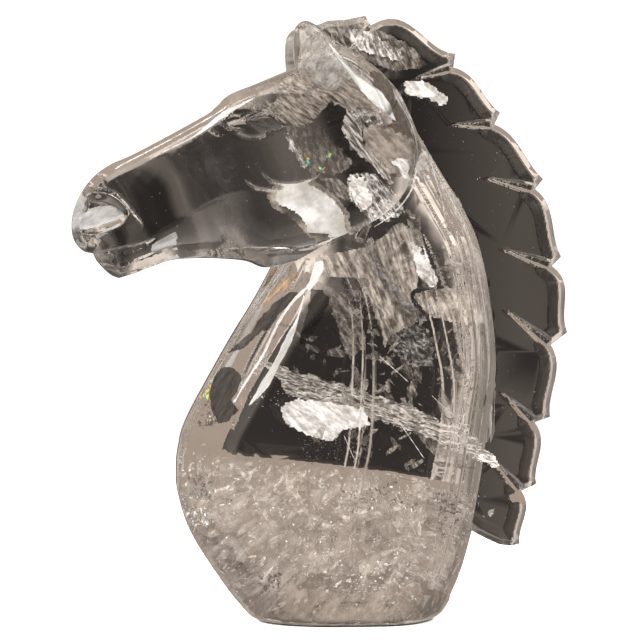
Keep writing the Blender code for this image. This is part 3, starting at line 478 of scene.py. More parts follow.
# The flaws of the stone that reach close to its surface, and sheets of painted shade, on the photographed side
# alone
FLAWS = [
    # name, finish, how deep it lies, outline
    ("crumpled_root_of_ear", "brown_crumple", 2.0,
     [(-24.7, 173.1), (-22.1, 177.7), (-16.9, 181.0), (-11.0, 181.6), (-5.8, 177.7), (-1.3, 173.1), (2.0, 169.2),
      (0.0, 166.6), (-3.9, 168.6), (-7.1, 169.9), (-9.7, 166.6), (-13.0, 162.7), (-17.5, 161.4), (-22.1, 164.0),
      (-24.7, 167.3)]),
    ("crumple_beside_ear", "brown_crumple", 1.6,
     [(-5.5, 179.7), (-2.2, 181.0), (1.3, 175.7), (4.6, 170.5), (8.5, 166.6), (6.5, 165.3), (2.6, 168.6),
      (-0.6, 171.8), (-3.9, 175.1)]),
    ("splinters_behind_veil", "splinters", 2.4,
     [(-2.6, 167.9), (1.3, 166.0), (3.9, 162.7), (3.3, 157.5), (6.5, 154.3), (9.8, 151.0), (13.1, 146.1),
      (13.7, 143.2), (10.5, 144.5), (6.5, 148.4), (2.0, 152.3), (-1.3, 155.6), (-3.2, 160.8)]),
    ("brown_dome_in_cheek", "brown_dome", 2.4,
     [(3.3, 161.4), (6.5, 162.7), (10.5, 161.4), (15.0, 159.5), (19.6, 157.5), (22.5, 154.3), (22.2, 149.4),
      (20.5, 145.1), (17.3, 144.5), (14.4, 147.1), (11.8, 145.8), (8.5, 148.4), (5.2, 152.3), (3.6, 156.9)]),
    # painted shade: a near-black sheet where the clear stone shows dark by the chest line
    ("dark_glass_by_chest_line", "painted_black_shade", 1.0,
     [(-13.3, 109.6), (-9.7, 108.7), (-6.8, 106.1), (-9.1, 100.2), (-13, 93.7), (-17.2, 90.4), (-16.6, 95.3),
      (-14.6, 101.2), (-13.6, 105.7)]),
    # painted shade: a brownish dark sheet where the stone shows dark round the dome
    ("dark_glass_round_dome", "painted_brown_shade", 2.2,
     [(4.7, 180.4), (8.6, 179.7), (14.5, 174.5), (19, 166.7), (22.3, 157.6), (23.6, 153.7), (22.6, 154.3),
      (19.7, 157.6), (15.1, 159.5), (10.6, 162.1), (13.2, 164.1), (10.6, 170.6), (6.7, 175.8)]),
    ("white_chip_in_dome", "bright_fracture", 2.0,
     [(12.1, 151.0), (15.0, 152.0), (18.3, 151.6), (18.9, 149.0), (18.3, 147.1), (20.9, 145.1), (19.6, 144.5),
      (16.3, 145.1), (15.7, 147.7), (13.1, 149.7)]),
    # painted shade: near-black sheets where the chest shows dark through the clear stone
    ("dark_streak_in_chest", "painted_dark_shade", 0.8,
     [(-19.7, 108.1), (-15.8, 108.1), (-21.3, 102.2), (-26.9, 95.0), (-28.9, 95.0), (-32.8, 90.7), (-36.1, 88.4),
      (-40.0, 87.8), (-37.4, 90.4), (-32.8, 94.3), (-28.9, 99.6), (-24.3, 104.8)]),
    ("dark_hollow_in_chest", "painted_dark_shade", 0.6,
     [(-41, 83.8), (-38, 83.5), (-35.1, 80.2), (-36.7, 76), (-38.7, 72.1), (-36.1, 69.4), (-38.5, 67.6),
      (-40, 65.5), (-43.3, 64.9), (-43.6, 67), (-45.2, 68.8), (-45.9, 75.3), (-43.9, 80.6)]),
]
# Stripes that follow the surface: all but the rust streak are painted highlights, where bevels and grooves catch
# light
STRIPES = [
    # name, finish, how deep it lies, widths along it, path
    ("white_line_down_chest", "painted_highlight", 0.3, (1.2, 0.9),
     [(-10.4, 116.6), (-13.6, 110.4), (-18.2, 105.5), (-22.5, 99.6), (-25.8, 93.3), (-28.7, 87.4), (-32.7, 80.9),
      (-38.2, 72)]),
    ("pale_band_down_chest", "painted_highlight", 0.3, (0.6, 1.0, 2.6, 2.2, 3.0, 0.5),
     [(-15.3, 106.8), (-17.6, 99.6), (-20.8, 92.3), (-24.5, 84.8), (-28.7, 77.6), (-33.6, 71)]),
    ("rust_streak_in_chest", "iron_stain", 0.5, (1.4, 3.0, 1.0),
     [(-17.2, 114), (-20.2, 110.7), (-24.1, 107.8), (-28.1, 103.2)]),
    ("gleam_down_nose", "painted_highlight", 0.3, (0.2, 2.0, 0.7, 0.3),
     [(-31.5, 171.2), (-35.5, 169.2), (-41.4, 165.9), (-47, 161.6), (-52, 158.3), (-58.6, 155), (-65.2, 151.7)]),
    ("gleam_on_nose_edge", "painted_highlight", 0.3, (0.2, 0.7, 0.5, 0.7, 0.2),
     [(-81.9, 145), (-73.7, 150), (-63.2, 155.5), (-52.4, 161.4), (-43.3, 166.6), (-38.7, 169.9)]),
    ("gleam_round_cheek", "painted_highlight", 0.3, (0.3, 0.8, 0.9, 0.8, 0.3),
     [(12.5, 176.5), (17.6, 168.5), (21.2, 161.5), (22.4, 154), (21.6, 147), (18.9, 139.8), (13, 133),
      (5, 127.8)]),
    ("gleam_at_nape", "painted_highlight", 0.3, (0.3, 0.8, 0.5, 0.3),
     [(25.4, 158.6), (27.7, 151.4), (29.6, 143.2), (31, 136.6), (31.6, 129.1)]),
    ("gleam_along_jaw", "painted_highlight", 0.3, (0.4, 0.6),
     [(-47.7, 121.4), (-39.5, 122.4), (-29, 122.7), (-19.9, 122.4), (-10.8, 124)]),
]
RAINBOW_SCALE = 600
RAINBOW_DETAIL = 1.0
RAINBOW_ROUGHNESS = 0.2
RAINBOW_OPACITY = 0.9
RAINBOW_FLAKES = 9
RAINBOW_SIDES = 5
RAINBOW_SPREAD = 0.4  # of the films round their middle, for their size
RAINBOW_REACH = (0.15, 0.5)  # of their corners, for their size
RAINBOW_LEAN = 0.6
RAINBOW_BANDS = [
    # place along the noise, colour
    (0.30, (0.02, 0.10, 0.85)),
    (0.42, (0.05, 0.75, 0.85)),
    (0.50, (0.15, 0.85, 0.15)),
    (0.56, (1.0, 0.75, 0.05)),
    (0.62, (1.0, 0.30, 0.02)),
    (0.72, (0.8, 0.05, 0.5)),
]


def smooth(points):
    """A curve through the points, as short straight steps."""
    points = np.array(points, float)
    if len(points) < 3:
        return points
    ends = np.vstack([2 * points[0] - points[1], points, 2 * points[-1] - points[-2]])
    t = np.linspace(0, 1, CURVE_STEPS, endpoint=False)[:, None]
    curve = []
    for a, b, c, d in zip(ends, ends[1:], ends[2:], ends[3:]):
        first, second, third = (c - a) / 2, a - 2.5 * b + 2 * c - d / 2, 1.5 * (b - c) + (d - a) / 2
        curve.append(b + t * first + t**2 * second + t**3 * third)
    return np.vstack(curve + [points[-1:]])


def line(points):
    """The same curve in metres."""
    return smooth(points) * UNIT


def outline(stretches):
    """A closed outline in metres from its smooth stretches."""
    return np.vstack([line(stretch)[:-1] for stretch in stretches])


def mane_outline():
    """The mane's toothed outline, and the notch behind each tooth."""
    along_edge = np.linspace(0, 1, TOOTH_STEPS)
    swelling = along_edge * (1 - along_edge) * (1 - along_edge / TOOTH_HOLLOW)
    swelling /= swelling.max()
    tips = np.array([tooth[:2] for tooth in TEETH])
    along = np.gradient(tips, axis=0)
    along /= np.linalg.norm(along, axis=1)[:, None]
    inward = np.column_stack([along[:, 1], -along[:, 0]])
    path = [*MANE_FRONT, tips[0]]
    notches = []
    for i, (_, _, _, on, depth) in enumerate(TEETH[:-1]):
        notch = tips[i] + on * along[i] + depth * inward[i]
        notches.append(notch)
        run = tips[i + 1] - notch
        swell = TEETH[i + 1][2] * np.array([-run[1], run[0]]) / np.linalg.norm(run)
        path.extend(notch + np.outer(along_edge, run) + np.outer(swelling, swell))
    path += MANE_FOOT + MANE_INSIDE
    return np.array(path, float) * UNIT, np.array(notches) * UNIT


def beside(starts, runs, x, z):
    """Each point's nearest place on each straight step, as a share of the step, and its distance there."""
    (ax, az), (dx, dz) = starts.T, runs.T
    share = np.clip(((x - ax) * dx + (z - az) * dz) / (dx**2 + dz**2), 0, 1)
    return share, np.hypot(x - ax - share * dx, z - az - share * dz)


class Grid:
    """The points of the side view, which are worked on in square tiles."""

    def __init__(self, low, high, cell):
        self.low, self.cell = np.array(low), cell
        self.tiles = np.ceil((high - self.low) / cell / TILE).astype(int)
        places = [start + cell * np.arange(n * TILE) for start, n in zip(self.low, self.tiles)]
        self.x, self.z = np.meshgrid(*places, indexing="ij")

    def reach_of(self, path, limit=np.inf):
        """Distance of each point from a path, and how far along the path its nearest place is, as a share.

        Tiles further than the limit are left at the limit. In the others, only the steps that can be nearest
        to one of the tile's points are looked at.
        """
        near, along = np.full(self.x.shape, limit), np.zeros(self.x.shape)
        starts, runs = path[:-1], np.diff(path, axis=0)
        lengths = np.linalg.norm(runs, axis=1)
        passed = np.concatenate([[0], np.cumsum(lengths)])
        middle = (TILE - 1) * self.cell / 2
        centres = [side[::TILE, ::TILE].reshape(-1, 1) + middle for side in (self.x, self.z)]
        _, gaps = beside(starts, runs, *centres)
        radius = middle * np.sqrt(2)
        for (i, j), gap in zip(np.ndindex(*self.tiles), gaps):
            if gap.min() - radius > limit:
                continue
            tile = np.s_[i * TILE:(i + 1) * TILE, j * TILE:(j + 1) * TILE]
            close = np.flatnonzero(gap <= gap.min() + 2 * radius)
            x, z = self.x[tile].reshape(-1, 1), self.z[tile].reshape(-1, 1)
            share, distance = beside(starts[close], runs[close], x, z)
            rows, best = np.arange(len(x)), distance.argmin(axis=1)
            reached = passed[close[best]] + share[rows, best] * lengths[close[best]]
            near[tile] = distance[rows, best].reshape(TILE, TILE)
            along[tile] = reached.reshape(TILE, TILE) / passed[-1]
        return near, along

    def inside_of(self, path):
        """Distance of each point inside a closed outline, negative outside it."""
        closed = np.vstack([path, path[:1]])
        within = np.zeros(self.x.shape, bool)
        rows = np.ceil((closed[:, 1] - self.low[1]) / self.cell).clip(0).astype(int)
        for (ax, az), (bx, bz), *ends in zip(closed, closed[1:], rows, rows[1:]):
            if ends[0] != ends[1]:
                between = np.s_[:, min(ends):max(ends)]
                crossing = ax + (self.z[between] - az) * (bx - ax) / (bz - az)
                within[between] ^= self.x[between] < crossing
        gap, _ = self.reach_of(closed)
        return np.where(within, gap, -gap)

    def cut(self, points, width, depth, shape):
        """Depth of a round cut along a curve."""
        gap, along = self.reach_of(line(points), width)
        share = np.maximum(shape(along), CUT_END)
        return depth * np.minimum(share, 1) * ease(1 - 2 * gap / (share * width))


def by_stations(stations, place):
    """A smooth run of values through (place, value) stations, in metres."""
    return np.interp(place, *line(stations).T)


def even(t):
    """Width along a cut that opens and closes at its two ends."""
    return np.sqrt(np.clip(np.sin(np.pi * t), 0, 1))


def opening(t):
    """Width along a gouge from its point to its mouth."""
    return t


def leaf(t):
    """Width along a leaf that is broadest past its middle."""
    return np.sin(np.pi * t**LEAF_SKEW)


def ease(t):
    t = np.clip(t, 0, 1)
    return t * t * (3 - 2 * t)


def neck_carving(grid):
    """Depth of the long grooves and the flutes down the side of the neck."""
    depth = grid.cut(CHEST_LINE, CHEST_LINE_WIDTH, CHEST_LINE_DEPTH, even)
    for points in LOCKS:
        gap, along = grid.reach_of(line(points), LOCK_GROOVE_WIDTH)
        width = LOCK_GROOVE_WIDTH * np.maximum(even(along), CUT_END)
        depth = depth + LOCK_GROOVE_DEPTH * even(along) * ease((1 - 2 * gap / width) / LOCK_FLANK)
    gap, along = grid.reach_of(line(NAPE[:-2]))
    for n in range(FLUTES):
        flute = np.abs(gap - FLUTE_START - n * FLUTE_PITCH)
        depth = depth + FLUTE_DEPTH * even(along) * ease(1 - 2 * flute / FLUTE_WIDTH)
    return depth


def head_carving(grid, inside):
    """Depth of what is cut from the side of the head, where inside is the distance inside its outline."""
    x, z = grid.x, grid.z
    depth = 0
    for points in EYE_LINES:
        depth = depth + grid.cut(points, EYE_LINE_WIDTH, EYE_LINE_DEPTH, even)
    for points in CHEEK_LINES + [NOSTRIL_RIM]:
        depth = depth + grid.cut(points, LINE_WIDTH, LINE_DEPTH, even)
    depth = depth + grid.cut(MOUTH, MOUTH_WIDTH, MOUTH_DEPTH, even)
    # Below the facial crest the cheek falls back towards the jaw, and above the brow towards the forehead
    crest, along = grid.reach_of(line(CREST_LINE))
    below = z < np.interp(x, *line(CREST_LINE).T)
    fade = ease(along / CREST_FADES[0]) * ease((1 - along) / CREST_FADES[1])
    depth = depth + CREST_FALL * fade * np.where(below, np.minimum(crest, CREST_REACH * UNIT), 0)
    depth = depth + BROW_FALL * np.maximum(z - np.interp(x, *line(BROW).T), 0)
    # A line runs round the edge of the cheek
    begin, full = CHEEK_RIM_START
    rim = np.abs(inside - CHEEK_RIM_IN * UNIT)
    fade = ease((x / UNIT - begin) / (full - begin))
    depth = depth + CHEEK_RIM_DEPTH * fade * ease(1 - 2 * rim / CHEEK_RIM_WIDTH)
    # The nostril is a scoop that is deepest below its upper rim
    scoop = grid.inside_of(line(NOSTRIL + NOSTRIL[:1])[:-1])
    depth = depth + NOSTRIL_DEPTH * ease(scoop / (NOSTRIL_SLOPE * UNIT))
    # The eye is an almond with a line round it and a ball that swells inside the line
    ex, ez = x / UNIT - EYE[0], z / UNIT - EYE[1]
    ez = ez - EYE_SLOPE * ex
    almond = 1 - (ex / EYE_HALF_LENGTH) ** 2 - np.abs(ez) / EYE_HALF_HEIGHT
    lid = np.abs(almond) * EYE_HALF_HEIGHT * UNIT
    depth = depth + EYE_LINE_DEPTH * ease(1 - 2 * lid / EYE_LINE_WIDTH)
    return depth - EYE_SWELL * UNIT * ease(almond / EYE_RISE)


def mane_carving(grid, notches):
    """Depth of the gouges that run in from the notches of the mane."""
    depth = 0
    for end, notch in zip(GOUGE_ENDS, notches):
        points = [end, tuple(notch / UNIT)]
        depth = depth + grid.cut(points, GOUGE_WIDTH, GOUGE_DEPTH, opening)
        depth = depth - grid.cut(points, GOUGE_RIDGE_WIDTH, GOUGE_RIDGE, opening)
    return depth


class SideView:
    """What the form needs at each point of the side view, worked out once."""

    def __init__(self, low, high, cell):
        grid = Grid(low, high, cell)
        self.low, self.cell = grid.low, cell
        mane, notches = mane_outline()
        flare = np.maximum(np.interp(grid.x, *line(FLARE_EDGE).T) - grid.z, 0)
        neck_half = by_stations(NECK_HALF, grid.z) + FLARE * flare
        start, end = np.array(HEAD_AXIS) * UNIT
        ahead = (end - start) / np.linalg.norm(end - start)
        head_half = by_stations(HEAD_HALF, (grid.x - start[0]) * ahead[0] + (grid.z - start[1]) * ahead[1])
        chest, _ = grid.reach_of(line(CHEST))
        low_down = np.maximum(CHEST_FADE * UNIT - grid.z, 0)
        chest = chest + low_down**2 / (low_down + CHEST_FADE * UNIT)
        nape, _ = grid.reach_of(line(NAPE))
        nape = np.clip(nape / (NAPE_REACH * UNIT), 0, 1)
        nape_share = NAPE_SHARE + (1 - NAPE_SHARE) * np.sqrt(1 - (1 - nape) ** 2)
        # Beside the cheek the neck is kept below it, so that the cheek's round edge stands over it
        head_inside = grid.inside_of(outline(HEAD))
        near_head = ease(1 + head_inside / (CHEEK_BLEND * UNIT))
        neck_half = neck_half + near_head * np.minimum(head_half - CHEEK_STEP * UNIT - neck_half, 0)
        neck_inside = grid.inside_of(outline(NECK))
        self.fields = np.stack([
            neck_inside,
            np.where(neck_inside > 0, chest, -chest),
            neck_half * nape_share - neck_carving(grid),
            head_inside,
            head_half - head_carving(grid, head_inside),
            grid.inside_of(mane),
            MANE_THICKNESS / 2 - mane_carving(grid, notches),
            grid.inside_of(outline(EAR)),
            grid.cut(EAR_HOLLOW, EAR_HOLLOW_WIDTH, EAR_HOLLOW_DEPTH, leaf),
        ])

    def at(self, x, z):
        """The fields at any points, blended between the four grid points round each."""
        across = (x - self.low[0]) / self.cell
        up = (z - self.low[1]) / self.cell
        i = np.clip(across.astype(int), 0, self.fields.shape[1] - 2)
        j = np.clip(up.astype(int), 0, self.fields.shape[2] - 2)
        s, t = across - i, up - j
        f = self.fields
        return (
            f[:, i, j] * (1 - s) * (1 - t) + f[:, i + 1, j] * s * (1 - t)
            + f[:, i, j + 1] * (1 - s) * t + f[:, i + 1, j + 1] * s * t
        )


def rounded(inside, from_bevel, half, y, edge):
    """Distance-like value of a slab that turns over towards its outline and has a bevel outside the turn."""
    reach, share, bevel_reach, bevel_share = edge
    half = np.maximum(half, UNIT)
    turn = half * (1 - share)
    a = np.maximum(1 - inside / (reach * UNIT), 0)
    b = np.maximum((y - half * share) / turn, 0)
    turned = (np.hypot(a, b) - 1) * np.minimum(turn, reach * UNIT)
    slope = half * (1 - bevel_share) / (bevel_reach * UNIT)
    bevel = (y - half * bevel_share - slope * from_bevel) / np.hypot(1, slope)
    return np.maximum(turned, bevel)


def blunt(one, other, width):
    """The greater of two, with the edge between them rounded."""
    share = np.maximum(1 - np.abs(one - other) / width, 0)
    return np.maximum(one, other) + share * share * width / 4


def crystal(fields, y, z):
    """Negative inside the crystal, positive outside it."""
    y = np.abs(y)
    neck_in, chest_in, neck_half, head_in, head_half, mane_in, mane_half, ear_in, hollow = fields
    neck = rounded(neck_in, chest_in, neck_half, y, NECK_EDGE)
    head = rounded(head_in, head_in, head_half, y, HEAD_EDGE)
    strip = y - STRIP_SHARE * head_half + STRIP_SLOPE * (STRIP * UNIT - head_in)
    head = np.maximum(head, strip / np.hypot(1, STRIP_SLOPE))
    slope = (MANE_THICKNESS - MANE_EDGE) / 2 / MANE_BEVEL
    rim = (y - MANE_EDGE / 2 - slope * mane_in) / np.hypot(1, slope)
    fall = MANE_SOFTENING * (1 - mane_in / MANE_SOFT_REACH)
    soft = (y - MANE_THICKNESS / 2 + fall) / np.hypot(1, MANE_SOFTENING / MANE_SOFT_REACH)
    mane = np.maximum(np.maximum(y - mane_half, -mane_in), blunt(rim, soft, MANE_BLUNTING))
    down = EAR_TIP * UNIT - z
    ear_half = EAR_THICKNESS / 2 + EAR_THICKENING * down
    middle = EAR_OUTSIDE * UNIT + EAR_SPREAD * down - ear_half
    ear_half = np.where(y > middle, ear_half - hollow, ear_half)
    turn = np.hypot(np.maximum(1 - ear_in / (EAR_EDGE_REACH * UNIT), 0), (y - middle) / ear_half)
    ear = (turn - 1) * EAR_THICKNESS / 2
    form = np.minimum(np.minimum(neck, head), np.minimum(mane, ear))
    # The edge round the underside is rounded, a little past where the underside is cut
    ground = -z - BELOW_GROUND * BASE_ROUNDING
    blend = np.maximum(BASE_ROUNDING - np.abs(form - ground), 0)
    return np.maximum(form, ground) + blend**2 / (4 * BASE_ROUNDING)


def filled_corners(inside):
    """Fills each grid square whose inside points meet only across its diagonal, where walls would touch."""
    while True:
        before = inside.sum()
        for u, v in ((0, 1), (1, 2), (0, 2)):
            beside, above = np.roll(inside, -1, u), np.roll(inside, -1, v)
            across = np.roll(beside, -1, v)
            touching = (inside & across & ~beside & ~above) | (beside & above & ~inside & ~across)
            for shifts in ((0, 0), (1, 0), (0, 1), (1, 1)):
                inside = inside | np.roll(touching, shifts, (u, v))
        if inside.sum() == before:
            return inside


def surface(value, low, high, cell):
    """Points and quads of the zero surface where Y is above 0, with a point in each cell that it crosses.

    The point is put where the planes of the crossings in its cell meet best, so that edges stay crisp. The
    first cells across lie half on each side of the middle plane, and their points are on it.
    """
    low = np.array([low[0], -cell / 2, low[2]])
    axes = [np.arange(a, b + cell, cell) for a, b in zip(low, high)]
    slabs = np.array_split(axes[0], np.ceil(len(axes[0]) / SLAB))
    inside = np.concatenate([value(*np.meshgrid(slab, *axes[1:], indexing="ij")) < 0 for slab in slabs])
    inside = filled_corners(inside)
    counts = np.array(inside.shape) - 1
    corner = np.zeros(counts, int)
    for shift in np.ndindex(2, 2, 2):
        corner += inside[tuple(slice(s, n + s) for s, n in zip(shift, counts))]
    active = (corner > 0) & (corner < 8)
    number = np.full(inside.shape, -1)
    number[:-1, :-1, :-1][active] = np.arange(active.sum())
    total = int(active.sum())
    # For each cell: 6 sums of products of the normals, 3 of the normals times the planes' distances, 3 of the
    # crossings' places, and their count
    sums = np.zeros((13, total))
    quads = []
    for axis in range(3):
        crossing = inside != np.roll(inside, -1, axis)
        for other in range(3):
            ends = [slice(None)] * 3
            ends[other] = -1 if other == axis else [0, -1]
            crossing[tuple(ends)] = False
        at = np.argwhere(crossing)
        leaving = inside[tuple(at.T)]
        point, normal = crossings(value, low + at * cell, leaving, axis, cell)
        u, v = (axis + 1) % 3, (axis + 2) % 3
        corners = []
        for du, dv in ((0, 0), (1, 0), (1, 1), (0, 1)):
            beside = at.copy()
            beside[:, u] -= du
            beside[:, v] -= dv
            corners.append(number[tuple(beside.T)])
        quad = np.column_stack(corners)
        quads.append(np.where(leaving[:, None], quad, quad[:, ::-1]))
        parts = [normal[:, i] * normal[:, j] for i, j in ((0, 0), (0, 1), (0, 2), (1, 1), (1, 2), (2, 2))]
        parts += [normal[:, i] * (normal * point).sum(1) for i in range(3)]
        parts += [point[:, i] for i in range(3)] + [np.ones(len(at))]
        for corner_cells in corners:
            for row, part in enumerate(parts):
                sums[row] += np.bincount(corner_cells, part, total)
    # In a cell on the middle plane the crossings of its two halves mirror each other, so these sums cancel
    cells = np.argwhere(active)
    sums[np.ix_([1, 4, 7, 10], cells[:, 1] == 0)] = 0
    mean = (sums[9:12] / sums[12]).T
    square = sums[[0, 1, 2, 1, 3, 4, 2, 4, 5]].T.reshape(-1, 3, 3)
    wanted = sums[6:9].T - np.einsum("nij,nj->ni", square, mean)
    points = mean + np.linalg.solve(square + HOLD * np.eye(3), wanted[:, :, None])[:, :, 0]
    corner_of = low + cells * cell
    margin = CELL_MARGIN * cell
    return np.clip(points, corner_of + margin, corner_of + cell - margin), np.vstack(quads)


def crossings(value, start, leaving, axis, cell):
    """Where the surface crosses each grid edge from its start, and which way it faces there."""
    step = np.zeros(3)
    step[axis] = cell
    near, far = np.zeros(len(start)), np.ones(len(start))
    for _ in range(HALVINGS):
        middle = (near + far) / 2
        same = (value(*(start + middle[:, None] * step).T) < 0) == leaving
        near, far = np.where(same, middle, near), np.where(same, far, middle)
    point = start + ((near + far) / 2)[:, None] * step
    return point, slope_of(value, point, SLOPE_STEP * cell)


def slope_of(value, point, step):
    """The unit direction in which the function grows fastest, which is straight out of the crystal."""
    slope = np.empty(point.shape)
    for i in range(3):
        shift = np.zeros(3)
        shift[i] = step
        slope[:, i] = value(*(point + shift).T) - value(*(point - shift).T)
    return slope / np.maximum(np.linalg.norm(slope, axis=1), TINY)[:, None]


def form_box():
    """Lowest and highest corner of a box that holds the half of the form with Y above 0."""
    sides = np.vstack([outline(NECK), outline(HEAD), outline(EAR), mane_outline()[0]])
    ears = EAR_OUTSIDE + EAR_SPREAD * max(EAR_TIP - z for stretch in EAR for _, z in stretch)
    base = FLARE * max(z for _, z in FLARE_EDGE) + max(half for _, half in NECK_HALF)
    widest = max(ears, base, *(half for _, half in HEAD_HALF)) * UNIT
    low = np.array([sides[:, 0].min(), 0, 0]) - ROOM
    high = np.array([sides[:, 0].max(), widest, sides[:, 1].max()]) + ROOM
    return low, high


def half_surface():
    """Points and quads of the side with Y above 0, and the function that is negative inside the crystal."""
    low, high = form_box()
    view = SideView(low[[0, 2]] - ROOM, high[[0, 2]] + ROOM, VIEW_CELL)

    def value(x, y, z):
        return crystal(view.at(x, z), y, z)

    return *surface(value, low, high, CELL), value


def both_sides(points, quads):
    """The whole mesh, with the other side mirrored and cut down to fewer triangles."""
    mesh = bpy.data.meshes.new("whole")
    mesh.from_pydata(points.tolist(), [], quads.tolist())
    whole = bpy.data.objects.new("whole", mesh)
    bpy.context.scene.collection.objects.link(whole)
    mirror = whole.modifiers.new("other_side", "MIRROR")
    mirror.use_axis = (False, True, False)
    mirror.merge_threshold = MERGE
    decimate = whole.modifiers.new("fewer_triangles", "DECIMATE")
    decimate.ratio = min(1, TRIANGLES / (4 * len(quads)))  # two triangles in each quad, on two sides
    decimate.use_symmetry = True
    decimate.symmetry_axis = "Y"
    graph = bpy.context.evaluated_depsgraph_get()
    made = bpy.data.meshes.new_from_object(whole.evaluated_get(graph))
    made.name = "carving"
    bpy.data.objects.remove(whole)
    return made


def cut_flat(mesh):
    """Cuts the mesh off level at the ground and closes it there."""
    bm = bmesh.new()
    bm.from_mesh(mesh)
    everything = bm.verts[:] + bm.edges[:] + bm.faces[:]
    cut = bmesh.ops.bisect_plane(bm, geom=everything, plane_co=(0, 0, 0), plane_no=(0, 0, 1), clear_inner=True)
    rim = [edge for edge in cut["geom_cut"] if isinstance(edge, bmesh.types.BMEdge)]
    bmesh.ops.holes_fill(bm, edges=rim, sides=0)
    bmesh.ops.triangulate(bm, faces=bm.faces[:])
    bmesh.ops.recalc_face_normals(bm, faces=bm.faces[:])
    bm.to_mesh(mesh)
    bm.free()


def shade(mesh, value):
    """Sets the normals from the form itself: shared where it is smooth, apart where faces meet at an edge."""
    mesh.shade_smooth()
    points = np.empty((len(mesh.vertices), 3))
    mesh.vertices.foreach_get("co", points.ravel())
    corners = np.empty(len(mesh.loops), int)
    mesh.loops.foreach_get("vertex_index", corners)
    centres = points[corners].reshape(-1, 3, 3).mean(axis=1).repeat(3, axis=0)
    inward = centres - points[corners]
    inward /= np.maximum(np.linalg.norm(inward, axis=1), TINY)[:, None]
    flat = np.empty((len(mesh.polygons), 3))
    mesh.polygons.foreach_get("normal", flat.ravel())
    flat = flat.repeat(3, axis=0)
    shared = slope_of(value, points, NORMAL_STEP)[corners]
    own = slope_of(value, points[corners] + EDGE_STEP * inward, NORMAL_STEP)
    crease = (shared * own).sum(axis=1) < CREASE
    normals = np.where(crease[:, None], own, shared)
    wrong = (normals * flat).sum(axis=1) < CREASE
    normals[wrong] = flat[wrong]
    mesh.normals_split_custom_set(normals.tolist())


def piece(name, mesh, material):
    """Puts a mesh in the scene as part of the stone."""
    thing = bpy.data.objects.new(name, mesh)
    mesh.materials.clear()
    mesh.materials.append(material)
    bpy.context.scene.collection.objects.link(thing)
    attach(thing, "root")
    return thing


def meshed(name, points, faces):
    mesh = bpy.data.meshes.new(name)
    mesh.from_pydata(np.array(points).tolist(), [], np.array(faces).tolist())
    return mesh


def fill(tree, node, inputs):
    """Gives each of a node's inputs its constant value or the output that feeds it."""
    for key, given in inputs.items():
        if isinstance(given, bpy.types.NodeSocket):
            tree.links.new(given, node.inputs[key])
        else:
            node.inputs[key].default_value = given


def add(tree, kind, inputs=None, operation=None):
    node = tree.nodes.new("ShaderNode" + kind)
    if operation:
        node.operation = operation
    fill(tree, node, inputs or {})
    return node


def new_material(name):
    """A material with the nodes that it starts with: its tree and its surface shader."""
    material = bpy.data.materials.new(name)
    material.use_nodes = True
    return material, material.node_tree, material.node_tree.nodes["Principled BSDF"]


def colour_along(tree, share, stops):
    """Colours along a share of 0 to 1, through stops of a place and its colour."""
    colours = add(tree, "ValToRGB", {"Fac": share})
    elements = colours.color_ramp.elements
    while len(elements) < len(stops):
        elements.new(0.5)
    for element, (place, colour) in zip(elements, stops):
        element.position = place
        element.color = (*colour, 1)
    return colours.outputs["Color"]


def spread(tree, value, start, end, least=0, most=1):
    """A value's range from start to end, spread from least to most."""
    ends = {"From Min": start, "From Max": end, "To Min": least, "To Max": most}
    return add(tree, "MapRange", {"Value": value, **ends}).outputs["Result"]


def crystal_material():
    """Clear quartz, which lets light through in its shadow too."""
    material, tree, shader = new_material("clear_crystal")
    fill(tree, shader, {
        "Base Color": (*QUARTZ_COLOUR, 1), "Roughness": 0.0, "IOR": QUARTZ_IOR, "Transmission Weight": 1.0,
    })
    in_shadow = add(tree, "LightPath").outputs["Is Shadow Ray"]
    through = add(tree, "BsdfTransparent", {"Color": (*QUARTZ_SHADOW, 1)})
    mix = add(tree, "MixShader", {0: in_shadow, 1: shader.outputs[0], 2: through.outputs[0]})
    fill(tree, tree.nodes["Material Output"], {"Surface": mix.outputs[0]})
    return material


def ground_underside():
    """The underside is ground and not polished, so it shows pale through the stone."""
    material, tree, shader = new_material("ground_underside")
    grain = add(tree, "TexNoise", {"Scale": GROUND_GRAIN}).outputs["Fac"]
    colour = colour_along(tree, grain, list(enumerate(GROUND_COLOURS)))
    fill(tree, shader, {"Base Color": colour, "Roughness": GROUND_ROUGHNESS})
    return material


def carving():
    """The carved stone. Gives the function that is negative inside it."""
    points, quads, value = half_surface()
    mesh = both_sides(points, quads)
    cut_flat(mesh)
    shade(mesh, value)
    head = piece("carved_head", mesh, crystal_material())
    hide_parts("horse_head")
    mesh.materials.append(ground_underside())
    for face in mesh.polygons:
        if max(mesh.vertices[corner].co.z for corner in face.vertices) < LEVEL:
            face.material_index = 1
    return value


def finish(name):
    """A finish for a skin, mineral or painted light: two colours and an opacity that both follow a streaked grain.
    """
    dark, light, opacity, size, stretch, tilt, roughness = FINISHES[name]
    material, tree, shader = new_material(name)
    turn = add(tree, "Mapping")
    turn.vector_type = "TEXTURE"
    fill(tree, turn, {
        "Vector": add(tree, "TexCoord").outputs["Object"],
        "Rotation": (0, tilt, 0), "Scale": (size, size, size * stretch),
    })
    grain = add(tree, "TexNoise", {
        "Vector": turn.outputs["Vector"], "Scale": 1.0, "Detail": GRAIN_DETAIL, "Roughness": GRAIN_ROUGHNESS,
    }).outputs["Fac"]
    fill(tree, shader, {
        "Base Color": colour_along(tree, grain, list(zip(GRAIN_RANGE, (dark, light)))),
        "Alpha": spread(tree, grain, *GRAIN_RANGE, *opacity),
        "Roughness": roughness,
    })
    return material


def smooth_loop(points):
    """A closed outline with its corners a little rounded."""
    points = np.array(points, float)
    ahead = np.roll(points, -1, axis=0)
    near, far = 1 - CORNER_CUT, CORNER_CUT
    return np.stack([points * near + ahead * far, points * far + ahead * near], axis=1).reshape(-1, 2)


